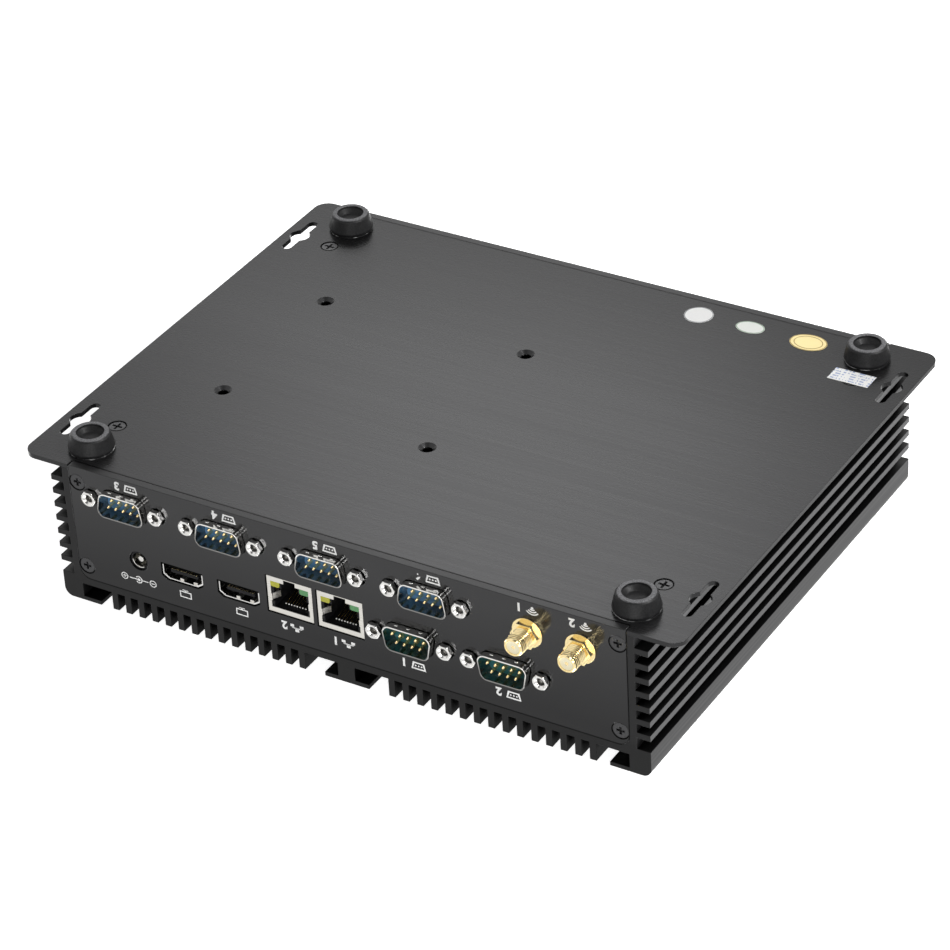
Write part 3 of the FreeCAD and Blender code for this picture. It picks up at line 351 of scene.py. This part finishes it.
def plug_moulding(name, color):
    """Glossy moulding with painted shade towards one corner and painted reflections as paler flecks."""
    s = Surface(name, color, 0.0, 0.22)
    grain = s.noise((1200.0, 1200.0, 1200.0))
    across = s.add("ShaderNodeTexCoord").outputs["Generated"]
    slope = s.vector_math("DOT_PRODUCT", across, (-1.0, 0.0, 0.7))
    # Painted reflections as flecks, and painted shade towards one corner
    painted_reflection = s.noise((420.0, 420.0, 900.0), 2.0)
    s.shade(painted_reflection, 0.7, 1.9)
    s.multiply(s.span(slope, 1.0, 0.22, -0.45, 0.45))
    s.roughen(grain, 0.05)
    s.bump(grain, 0.02 * mm, 0.35)
    return s.material


def moulded(name, color, roughness, gloss=0.5):
    s = Surface(name, color, 0.0, roughness)
    s.shader.inputs["Specular IOR Level"].default_value = gloss
    s.soften_edges(0.1 * mm)
    grain = s.noise((1200.0, 1200.0, 1200.0))
    cloud = s.noise((160.0, 160.0, 160.0), 2.0)
    s.shade(cloud, 0.88, 1.12)
    s.roughen(grain, 0.05)
    s.bump(grain, 0.02 * mm, 0.35)
    return s.material


def lens(name, color, glow):
    """A lamp's window, with a faint painted glow in its own colour."""
    s = Surface(name, color, 0.0, 0.25)
    s.shader.inputs["Emission Color"].default_value = (*color, 1.0)
    s.shader.inputs["Emission Strength"].default_value = glow
    grain = s.noise((700.0, 700.0, 700.0), 2.0)
    s.shade(grain, 0.85, 1.15)
    s.roughen(grain, 0.05)
    return s.material


def printed(name, color, roughness=0.5, gloss=0.5):
    s = Surface(name, color, 0.0, roughness)
    s.shader.inputs["Specular IOR Level"].default_value = gloss
    grain = s.noise((1800.0, 1800.0, 1800.0), 2.0)
    s.shade(grain, 0.93, 1.03)
    s.roughen(grain, 0.06)
    return s.material


def laminate():
    s = Surface("board_laminate", (0.015, 0.09, 0.04), 0.0, 0.4)
    cloud = s.noise((300.0, 300.0, 300.0), 4.0)
    s.shade(cloud, 0.7, 1.3)
    s.roughen(cloud, 0.08)
    return s.material


finishes = {
    "case_metal": extruded_metal(),
    "plate_metal": brushed_plate(),
    "panel_metal": satin_panel(),
    "foot_rubber": rubber(),
    "dark_screws": dark_screw(),
    "plug_chrome": bright_metal("bright_nickel", (0.78, 0.77, 0.75), 0.16, edge=0.2, hollow_shade=0.05),
    "blue_plastic": plug_moulding("blue_moulding", (0.062, 0.16, 0.30)),
    "teal_plastic": plug_moulding("teal_moulding", (0.009, 0.085, 0.092)),
    "gilt": bright_metal("gilt", (0.98, 0.80, 0.43), 0.2, 0.06, (1100.0, 1100.0, 1100.0), hollow_shade=0.6),
    "socket_steel": bright_metal("tinned_sheet", (0.74, 0.72, 0.67), 0.32, 0.07, (120.0, 1800.0, 1800.0)),
    "black_plastic": moulded("black_moulding", (0.010, 0.010, 0.011), 0.42, 0.15),
    "yellow_lens": lens("yellow_lens", (0.42, 0.41, 0.03), 0.08),
    "green_lens": lens("green_lens", (0.09, 0.27, 0.10), 0.05),
    "white_plastic": moulded("white_moulding", (0.97, 0.90, 0.66), 0.35),
    "button_metal": bright_metal("turned_metal", (0.56, 0.56, 0.57), 0.28, 0.07, (2200.0, 30.0, 2200.0)),
    "board_green": laminate(),
    "chip_black": moulded("chip_moulding", (0.02, 0.02, 0.022), 0.5),
    "lead_grey": moulded("lead_sheath", (0.20, 0.20, 0.21), 0.5),
}
white_ink = printed("white_ink", (0.94, 0.94, 0.93))
groove_shade = printed("groove_shade", (0.004, 0.004, 0.004), 0.9, 0.0)
# Bright metal without painted shade, for small bright pieces and a painted highlight
glint_metal = bright_metal("pale_glint_metal", (0.97, 0.95, 0.90), 0.3, edge=0.1, hollow_shade=1.0)
shell_finish = shell_nickel()
# The jack's sleeve, nearly black inside with painted shade in its hollow
sleeve_finish = bright_metal("sleeve_nickel", (0.7, 0.69, 0.66), 0.2, hollow_shade=0.01)


def dress_nodes():
    for entry in frame["record"]["subparts"]:
        node = nodes[entry["node"]]
        finish = finishes[entry["material_slot"]]
        if entry["node"].startswith("serial_shell"):
            finish = shell_finish
        elif entry["node"] == "power_jack_sleeve":
            finish = sleeve_finish
        if not node.data.materials:
            node.data.materials.append(finish)
        for material_slot in node.material_slots:
            material_slot.material = finish


# Mesh helpers, in millimetres

def finish_piece(name, bm, material, body="case", smooth=False):
    bmesh.ops.recalc_face_normals(bm, faces=bm.faces)
    mesh = bpy.data.meshes.new(name)
    bmesh.ops.scale(bm, vec=(mm, mm, mm), verts=bm.verts)
    bm.to_mesh(mesh)
    bm.free()
    if smooth:
        for polygon in mesh.polygons:
            polygon.use_smooth = True
    mesh.materials.append(material)
    piece = bpy.data.objects.new(name, mesh)
    bpy.context.scene.collection.objects.link(piece)
    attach(piece, body)
    return piece


def add_slab(bm, outline, lift, place):
    """A flat closed slab: outline points (a, b), extruded by lift, put in space by place(a, b, c)."""
    low = [bm.verts.new(place(a, b, 0.0)) for a, b in outline]
    high = [bm.verts.new(place(a, b, lift)) for a, b in outline]
    bm.faces.new(low)
    bm.faces.new(high)
    count = len(outline)
    for index in range(count):
        after = (index + 1) % count
        bm.faces.new((low[index], low[after], high[after], high[index]))


def add_band(bm, outer, inner, lift, place):
    """A slab in the shape of a closed band between two outlines with as many points each."""
    lines = [[bm.verts.new(place(a, b, c)) for a, b in line] for c in (0.0, lift) for line in (outer, inner)]
    count = len(outer)
    for index in range(count):
        after = (index + 1) % count
        for first, second in ((0, 1), (2, 3), (0, 2), (1, 3)):
            one = lines[first]
            other = lines[second]
            bm.faces.new((one[index], one[after], other[after], other[index]))


def circle_points(radius_a, radius_b, a=0.0, b=0.0, count=48, start=0.0, end=360.0):
    closed = abs(end - start) > 359.0
    steps = count if closed else count - 1
    turns = [math.radians(start + (end - start) * index / steps) for index in range(count)]
    return [(a + radius_a * math.cos(turn), b + radius_b * math.sin(turn)) for turn in turns]


def add_ring(bm, outer, inner, lift, place, count=48):
    """A round band between two radii."""
    far = circle_points(outer, outer, count=count)
    near = circle_points(inner, inner, count=count)
    add_band(bm, far, near, lift, place)


def add_arc(bm, outer, inner, lift, place, count, start, end, b=0.0):
    """A part of a round band, between two turns in degrees."""
    far = circle_points(outer, outer, 0.0, b, count, start, end)
    near = circle_points(inner, inner, 0.0, b, count, start, end)
    add_slab(bm, far + near[::-1], lift, place)


def middle(box):
    """The centre of a node's box."""
    low, high = box
    return [(a + b) / 2 / mm for a, b in zip(low, high)]


def on_panel(x, z, y=panel_y):
    """Puts a drawing's a and b on the port panel, with c outwards."""
    return lambda a, b, c: (x + a, y - c, z + b)


def under_plate(x, y):
    """Puts a drawing's a and b on the base plate's outer face, with c outwards."""
    return lambda a, b, c: (x + a, y + b, plate_z - c)


def add_lathe_y(bm, profile, x, z, segments=48):
    """Turns a profile of (y, radius) points about the line through x and z."""
    rings = []
    for y, radius in profile:
        turns = [2 * math.pi * index / segments for index in range(segments)]
        rings.append([bm.verts.new((x + radius * math.cos(t), y, z + radius * math.sin(t))) for t in turns])
    for first, second in zip(rings, rings[1:]):
        for index in range(segments):
            after = (index + 1) % segments
            bm.faces.new((first[index], first[after], second[after], second[index]))
    bm.faces.new(rings[0])
    bm.faces.new(rings[-1])


# White print: plain numbers and simple signs beside the sockets

ink = 0.04
digit_size = 4.0


def digit_faces(text, size):
    """The built-in typeface's digit as flat polygons, in millimetres, centred."""
    curve = bpy.data.curves.new("digit", "FONT")
    curve.body = text
    curve.size = size
    curve.offset = 0.045 * size
    curve.align_x = "CENTER"
    holder = bpy.data.objects.new("digit", curve)
    bpy.context.scene.collection.objects.link(holder)
    bpy.context.view_layer.update()
    depsgraph = bpy.context.evaluated_depsgraph_get()
    mesh = bpy.data.meshes.new_from_object(holder.evaluated_get(depsgraph))
    points = [(v.co.x, v.co.y) for v in mesh.vertices]
    centre = (min(p[1] for p in points) + max(p[1] for p in points)) / 2
    faces = [[(points[i][0], points[i][1] - centre) for i in polygon.vertices] for polygon in mesh.polygons]
    bpy.data.objects.remove(holder)
    bpy.data.curves.remove(curve)
    bpy.data.meshes.remove(mesh)
    return faces


def add_digit(bm, text, size, place):
    for outline in digit_faces(text, size):
        bm.faces.new([bm.verts.new(place(a, b, ink)) for a, b in outline])


def box_points(a_low, a_high, b_low, b_high):
    return [(a_low, b_low), (a_high, b_low), (a_high, b_high), (a_low, b_high)]


def add_frame(bm, width, height, line, place, narrow=0.0):
    """The outline of a box, narrower along its lower side."""
    outer = [(-width / 2 + narrow, -height / 2), (width / 2 - narrow, -height / 2),
             (width / 2, height / 2), (-width / 2, height / 2)]
    inner = [(a - math.copysign(line * 1.1, a), b - math.copysign(line, b)) for a, b in outer]
    add_band(bm, outer, inner, ink, place)


def serial_sign(bm, number, x, z):
    add_frame(bm, 5.2, 2.7, 0.52, on_panel(x - 2.0, z), 0.6)
    for step in (-1, 0, 1):
        add_slab(bm, circle_points(0.3, 0.3, step * 1.05, 0.0, 12), ink, on_panel(x - 2.0, z))
    add_digit(bm, number, digit_size, on_panel(x + 3.2, z))


def network_sign(bm, number, x, z):
    place = on_panel(x - 1.9, z)
    for a, b in ((0.0, 0.8), (-1.7, -0.8), (1.7, -0.8)):
        add_slab(bm, box_points(a - 0.7, a + 0.7, b - 0.5, b + 0.5), ink, place)
    add_slab(bm, box_points(-1.85, 1.85, -0.15, 0.15), ink, place)
    for a in (-1.7, 1.7):
        add_slab(bm, box_points(a - 0.13, a + 0.13, -0.5, 0.0), ink, place)
    add_slab(bm, box_points(-0.13, 0.13, 0.0, 0.5), ink, place)
    add_digit(bm, number, digit_size, on_panel(x + 2.7, z))


def screen_sign(bm, x, z):
    place = on_panel(x, z)
    outer = box_points(-2.2, 2.2, -0.9, 1.5)
    inner = box_points(-1.8, 1.8, -0.5, 1.1)
    add_band(bm, outer, inner, ink, place)
    add_slab(bm, box_points(-0.3, 0.3, -1.4, -0.9), ink, place)
    add_slab(bm, box_points(-1.1, 1.1, -1.5, -1.2), ink, place)


def power_sign(bm, x, z):
    place = on_panel(x, z)
    add_slab(bm, circle_points(0.55, 0.55, count=24), ink, place)
    add_arc(bm, 1.35, 0.98, ink, place, 40, 40.0, 320.0)
    add_slab(bm, box_points(-3.6, -1.3, -0.17, 0.17), ink, place)
    add_slab(bm, box_points(0.5, 3.6, -0.17, 0.17), ink, place)
    for side in (-1, 1):
        end = on_panel(x + side * 5.4, z)
        add_ring(bm, 1.3, 0.98, ink, end, 32)
        add_slab(bm, box_points(-0.65, 0.65, -0.16, 0.16), ink, end)
    add_slab(bm, box_points(-0.16, 0.16, -0.65, 0.65), ink, on_panel(x + 5.4, z))


def radio_sign(bm, number, x, z):
    place = on_panel(x - 1.8, z)
    add_slab(bm, circle_points(0.45, 0.45, 0.0, -1.0, 20), ink, place)
    for radius in (1.15, 1.95, 2.75):
        add_arc(bm, radius, radius - 0.42, ink, place, 20, 40.0, 140.0, -1.2)
    add_digit(bm, number, digit_size, on_panel(x + 2.8, z))


def panel_print():
    bm = bmesh.new()
    low_z = plate_z + 2.6
    high_z = plate_z + 36.6
    for number, x in (("3", 77.7), ("4", 41.2), ("5", 4.6), ("6", -31.8)):
        serial_sign(bm, number, x, low_z)
    for number, x in (("1", -24.7), ("2", -58.0)):
        serial_sign(bm, number, x, high_z)
    for number, x in (("2", 19.0), ("1", 0.3)):
        network_sign(bm, number, x, high_z)
    for x in (58.5, 37.4):
        screen_sign(bm, x, high_z)
    power_sign(bm, 76.3, high_z)
    for number, x in (("1", -66.1), ("2", -84.0)):
        radio_sign(bm, number, x, low_z + 0.4)
    finish_piece("panel_print", bm, white_ink)


# Plain stickers under the plate

def sticker_face(name, ink_color, width, pitch):
    """White paper with faint broken bars; their width is a share of their pitch."""
    s = Surface(name, (0.84, 0.84, 0.83), 0.0, 0.42)
    wave = s.combine("PINGPONG", s.split(s.place)["Y"], pitch / 2)
    bars = s.span(wave, 0.0, 1.0, pitch * width, pitch * (width + 0.05))
    breaks = s.span(s.noise((1100.0, 200.0, 1.0), 2.0), 0.0, 1.0, 0.48, 0.52)
    mix = s.shade(s.larger(bars, breaks), 1.0, 1.0)
    mix.inputs[6].default_value = (*ink_color, 1.0)
    s.roughen(s.noise(even_grain, 2.0), 0.06)
    return s.material


def stickers():
    paper = 0.08
    foil_grain = (700.0, 700.0, 700.0)
    pale = printed("pale_paper", (0.80, 0.82, 0.78), 0.45)
    white = printed("white_paper", (0.84, 0.84, 0.83), 0.42)
    grey = printed("grey_rim", (0.30, 0.31, 0.32), 0.45)
    green = printed("green_rim", (0.36, 0.46, 0.36), 0.45)
    gold = bright_metal("gold_foil", (0.78, 0.66, 0.34), 0.4, 0.08, foil_grain, 0.02)
    dull = bright_metal("dark_gold_foil", (0.34, 0.25, 0.10), 0.42, 0.08, foil_grain, 0.02)
    hatched = sticker_face("hatched_paper", (0.34, 0.40, 0.58), 0.22, 1.4 * mm)

    def disc(name, x, y, radius_a, radius_b, body_material, rim_material, rim, shares):
        bm = bmesh.new()
        add_slab(bm, circle_points(radius_a, radius_b), paper, under_plate(x, y))
        finish_piece(name, bm, body_material)
        for index, share in enumerate(shares):
            band = bmesh.new()
            outer = circle_points(radius_a * share, radius_b * share)
            inner = circle_points(radius_a * share - rim, radius_b * share - rim)
            add_band(band, outer, inner, paper + 0.02, under_plate(x, y))
            finish_piece(f"{name}_rim_{index + 1}", band, rim_material)

    disc("round_sticker", -35.7, 81.3, 4.9, 4.9, white, grey, 0.35, (0.99,))
    disc("oval_sticker", -54.4, 81.6, 5.0, 3.5, pale, green, 0.4, (0.99,))
    disc("foil_sticker", -75.5, 81.4, 6.4, 4.8, gold, dull, 0.3, (0.99, 0.78))
    bm = bmesh.new()
    add_slab(bm, box_points(-7.05, 7.05, -3.45, 3.45), paper, under_plate(-97.3, 68.3))
    finish_piece("paper_label", bm, hatched)


# Fine detail of the plugs

def plug_dimples():
    """Three pressed dimples along each long side of the plugs' shells."""
    pitch = 4.3
    wall_offset = 4.4
    shape = Matrix.Diagonal((0.75, 0.45, 0.22, 1.0))
    bm = bmesh.new()
    for number in range(1, 7):
        x = middle(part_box(f"serial_insert_{number}"))[0]
        z = middle(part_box(f"serial_shell_{number}"))[2]
        for side in (-1, 1):
            for step in (-1, 0, 1):
                place = Matrix.Translation((x + step * pitch, panel_y - 1.0, z + side * wall_offset))
                bmesh.ops.create_uvsphere(bm, u_segments=16, v_segments=8, radius=1.0, matrix=place @ shape)
    finish_piece("plug_dimples", bm, finishes["plug_chrome"], smooth=True)


def antenna_threads():
    """Ridged rings over the sockets' barrels, from the plain tip to the nut."""
    plain_tip = 0.8
    nut_front = 2.6
    pitch = 0.7
    root_radius = 3.06
    crest_radius = 3.32
    for number in (1, 2):
        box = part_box(f"antenna_socket_{number}")
        x, _, z = middle(box)
        start = box[0].y / mm + plain_tip
        end = panel_y - nut_front
        turns = int((end - start) / pitch)
        profile = [(start, 3.0)]
        for index in range(turns):
            root = start + (end - start) * index / turns
            crest = start + (end - start) * (index + 0.5) / turns
            profile += [(root + 0.02, root_radius), (crest, crest_radius)]
        profile.append((end, root_radius))
        bm = bmesh.new()
        add_lathe_y(bm, profile, x, z)
        finish_piece(f"antenna_thread_{number}", bm, finishes["gilt"])


def add_block(bm, low, high):
    """A closed box between two corners."""
    outline = box_points(low[0], high[0], low[1], high[1])
    add_slab(bm, outline, high[2] - low[2], lambda a, b, c: (a, b, low[2] + c))


def video_contacts():
    """Spring pads in the mouths, contacts on the tongues, and painted shade as a dark strip along the shells'
    plate side.
    """
    pad_front = 0.6
    pad_back = 3.2
    contact_width = 0.44
    edge_width = 0.3
    pads = bmesh.new()
    rows = bmesh.new()
    shade_strips = bmesh.new()
    for number in (1, 2):
        low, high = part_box(f"video_shell_{number}")
        x, _, z = middle((low, high))
        left, mouth_y, floor_z = low / mm
        right, _, roof_z = high / mm
        wall_z = roof_z - 0.4
        for offset in (0.9, -4.2):
            add_block(pads, (x + offset - 0.7, mouth_y + pad_front, wall_z - 0.55),
                      (x + offset + 0.7, mouth_y + pad_back, wall_z))
        add_block(pads, (x + 3.4, mouth_y + pad_front, floor_z + 0.45),
                  (x + 4.9, mouth_y + pad_back, floor_z + 0.8))
        for index in range(10):
            start = x + index - 4.5 - contact_width / 2
            add_block(rows, (start, mouth_y + 1.0, z - 0.66), (start + contact_width, mouth_y + 6.0, z - 0.6))
        # Painted shade: a dark strip over the shell's rim on the plate side
        add_block(shade_strips, (left - edge_width, mouth_y - 0.05, floor_z - edge_width),
                  (right + edge_width, mouth_y, floor_z + 0.42))
    finish_piece("video_shade_strips", shade_strips, groove_shade)
    finish_piece("video_pads", pads, glint_metal)
    finish_piece("video_contact_rows", rows, finishes["gilt"])


def network_contact_bends():
    """The rounded fronts of the sockets' eight contacts."""
    pitch = 1.02
    bm = bmesh.new()
    low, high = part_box("network_contacts")
    for number in (1, 2):
        x = middle(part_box(f"network_body_{number}"))[0]
        for index in range(8):
            place = Matrix.Translation((x + (index - 3.5) * pitch, low.y / mm + 0.2, high.z / mm - 0.35))
            bmesh.ops.create_uvsphere(bm, u_segments=12, v_segments=8, radius=0.33, matrix=place)
    finish_piece("network_contact_bends", bm, glint_metal, smooth=True)


def network_side_tabs():
    """The bright spring tab folded back from one side of each socket's mouth."""
    side_reach = 6.85
    bm = bmesh.new()
    for number in (1, 2):
        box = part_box(f"network_shell_{number}")
        x, _, z = middle(box)
        y = box[0].y / mm + 0.35
        outline = [(0.0, 0.0), (-1.5, 2.6), (-1.65, 2.5), (-0.15, -0.1)]
        add_slab(bm, outline, 2.2, lambda a, b, c: (x + side_reach + a, y + b, z + 0.1 + c))
    finish_piece("network_side_tabs", bm, finishes["socket_steel"])


def screw_shade_rings():
    """Painted shade as dark arcs and rings in the gaps round the countersunk heads, and the panel screws'
    flat rims.
    """
    head_radius = 2.8
    rim_depth = 0.14
    bm = bmesh.new()
    rims = bmesh.new()
    low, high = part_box("port_panel_screws")
    for x in (low.x / mm + head_radius, high.x / mm - head_radius):
        for z in (low.z / mm + head_radius, high.z / mm - head_radius):
            add_arc(bm, 3.02, 2.7, 0.03, on_panel(x, z), 30, -40.0, 160.0)
            add_ring(rims, 2.62, 1.4, 0.02, on_panel(x, z, panel_y + rim_depth))
    low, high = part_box("plate_screws")
    for x in (low.x / mm + head_radius, high.x / mm - head_radius):
        for y in (low.y / mm + head_radius, high.y / mm - head_radius):
            add_ring(bm, 3.1, 2.72, 0.03, under_plate(x, y))
    finish_piece("screw_shade_rings", bm, groove_shade)
    finish_piece("panel_screw_rims", rims, finishes["dark_screws"])


def power_jack_lip():
    """The moulding's lip over the sleeve's front edge, and a painted highlight inside it: a bright arc along
    part of the sleeve's mouth.
    """
    mouth_radius = 2.72
    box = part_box("power_jack_sleeve")
    x, _, z = middle(box)
    place = on_panel(x, z, box[0].y / mm)
    bm = bmesh.new()
    add_ring(bm, 3.3, mouth_radius, 0.06, place)
    finish_piece("power_jack_lip", bm, finishes["black_plastic"])
    # Painted highlight: a bright arc on one side of the mouth
    glint_arc = bmesh.new()
    add_arc(glint_arc, mouth_radius, 2.5, 0.05, place, 24, 5.0, 125.0)
    finish_piece("power_jack_painted_glint", glint_arc, glint_metal)


def foot_glue():
    """The clear pads that hold the feet, seen as a thin line round each base, with painted glints along it.
    """
    clear = Surface("glue_glint_line", (0.5, 0.5, 0.5), 0.0, 0.2)
    cloud = clear.noise((260.0, 260.0, 260.0))
    # Painted glints: bright patches with nearly black gaps between them
    clear.shade(clear.span(cloud, 0.0, 1.0, 0.45, 0.6), 0.05, 1.0)
    bm = bmesh.new()
    for number in range(1, 5):
        x, y, _ = middle(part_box(f"foot_{number}"))
        add_ring(bm, 7.3, 6.6, 0.12, under_plate(x, y))
    finish_piece("foot_glue", bm, clear.material)


# Floor under the fins for the photograph's view, floor under the feet for the others

def math_node(tree, operation, first, second):
    node = tree.nodes.new("ShaderNodeMath")
    node.operation = operation
    tree.links.new(first, node.inputs[0])
    tree.links.new(second, node.inputs[1])
    return node


def floor_material(name):
    """White with the object's shadow for the camera in front of it, clear from behind and for other rays."""
    material = bpy.data.materials.new(name)
    material.use_nodes = True
    tree = material.node_tree
    tree.nodes.clear()
    output = tree.nodes.new("ShaderNodeOutputMaterial")
    clear = tree.nodes.new("ShaderNodeBsdfTransparent")
    diffuse = tree.nodes.new("ShaderNodeBsdfDiffuse")
    diffuse.inputs["Color"].default_value = (0.9, 0.9, 0.9, 1.0)
    glow = tree.nodes.new("ShaderNodeEmission")
    glow.inputs["Strength"].default_value = 0.85
    white = tree.nodes.new("ShaderNodeAddShader")
    tree.links.new(diffuse.outputs[0], white.inputs[0])
    tree.links.new(glow.outputs[0], white.inputs[1])
    path = tree.nodes.new("ShaderNodeLightPath")
    geometry = tree.nodes.new("ShaderNodeNewGeometry")
    front = math_node(tree, "SUBTRACT", path.outputs["Is Camera Ray"], geometry.outputs["Backfacing"])
    front.use_clamp = True
    mix = tree.nodes.new("ShaderNodeMixShader")
    tree.links.new(front.outputs[0], mix.inputs["Fac"])
    tree.links.new(clear.outputs[0], mix.inputs[1])
    tree.links.new(white.outputs[0], mix.inputs[2])
    tree.links.new(mix.outputs[0], output.inputs["Surface"])
    return material


def place_floors():
    material = floor_material("floor_white")
    half = 3.0
    upwards = (0, 1, 2, 3)
    downwards = (3, 2, 1, 0)
    below_feet = ("floor_below_feet", -0.05 * mm, upwards)
    at_fins = ("floor_at_fins", (fin_top_z + 0.1) * mm, downwards)
    for name, z, order in (below_feet, at_fins):
        mesh = bpy.data.meshes.new(name)
        corners = [(a, b, z) for a, b in box_points(-half, half, -half, half)]
        mesh.from_pydata(corners, [], [order])
        mesh.materials.append(material)
        floor = bpy.data.objects.new(name, mesh)
        bpy.context.scene.collection.objects.link(floor)


# Light

def place_lamp(name, place, size, power):
    """A square lamp that looks at the object's middle."""
    target = Vector((0.0, 0.0, 0.03))
    lamp = bpy.data.lights.new(name, "AREA")
    lamp.shape = "SQUARE"
    lamp.size = size
    lamp.energy = power
    holder = bpy.data.objects.new(name, lamp)
    holder.location = place
    holder.rotation_euler = (target - Vector(place)).to_track_quat("-Z", "Y").to_euler()
    bpy.context.scene.collection.objects.link(holder)


def dark_side(tree, heading, side, start, end, depth):
    """Takes the room's light down to a depth towards one side."""
    towards = tree.nodes.new("ShaderNodeVectorMath")
    towards.operation = "DOT_PRODUCT"
    towards.inputs[1].default_value = side
    tree.links.new(heading, towards.inputs[0])
    shade = tree.nodes.new("ShaderNodeMapRange")
    for name, number in (("From Min", start), ("From Max", end), ("To Min", 1.0), ("To Max", depth)):
        shade.inputs[name].default_value = number
    tree.links.new(towards.outputs["Value"], shade.inputs["Value"])
    return shade.outputs["Result"]


def place_light():
    place_lamp("key_right", (-1.25, 0.1, -1.15), 0.45, 26.0)
    place_lamp("sheen_plate", (0.757, 1.235, -1.064), 0.4, 1.5)
    place_lamp("glint_high", (-0.56, -1.15, -0.96), 0.2, 1.6)
    place_lamp("glint_side", (-1.09, -1.15, -0.2), 0.2, 1.6)
    place_lamp("fill_front", (-0.6, -1.5, -0.1), 1.0, 12.0)
    place_lamp("key_top", (-0.3, -0.4, 1.6), 1.2, 18.0)
    place_lamp("fill_left", (1.5, 0.2, 0.4), 1.0, 8.0)
    place_lamp("fill_back", (0.2, 1.5, 0.5), 1.0, 8.0)
    world = bpy.data.worlds.new("studio")
    bpy.context.scene.world = world
    world.use_nodes = True
    tree = world.node_tree
    background = tree.nodes["Background"]
    background.inputs["Color"].default_value = (1.0, 1.0, 1.0, 1.0)
    # Lit plainly, and a bright room for the camera, for reflections and through clear pieces
    path = tree.nodes.new("ShaderNodeLightPath").outputs
    seen = math_node(tree, "MAXIMUM", path["Is Camera Ray"], path["Is Glossy Ray"])
    shown = math_node(tree, "MAXIMUM", seen.outputs[0], path["Is Transmission Ray"])
    strength = tree.nodes.new("ShaderNodeMapRange")
    strength.inputs["To Min"].default_value = 0.18
    tree.links.new(shown.outputs[0], strength.inputs["Value"])
    tree.links.new(strength.outputs["Result"], background.inputs["Strength"])
    # Reflections find two dark sides of the room
    below_front = ((-0.451, -0.718, -0.530), 0.6, 0.85, 0.1)
    above = ((0.453, 0.131, 0.882), 0.75, 0.92, 0.2)
    heading = tree.nodes.new("ShaderNodeTexCoord").outputs["Generated"]
    shades = [dark_side(tree, heading, *side) for side in (below_front, above)]
    room = math_node(tree, "MULTIPLY", *shades)
    backdrop = math_node(tree, "MAXIMUM", room.outputs[0], path["Is Camera Ray"])
    tree.links.new(backdrop.outputs[0], strength.inputs["To Max"])


bpy.context.scene.view_settings.view_transform = "Standard"
place_camera()
dress_nodes()
panel_print()
stickers()
plug_dimples()
antenna_threads()
video_contacts()
network_contact_bends()
network_side_tabs()
screw_shade_rings()
power_jack_lip()
foot_glue()
place_floors()
place_light()
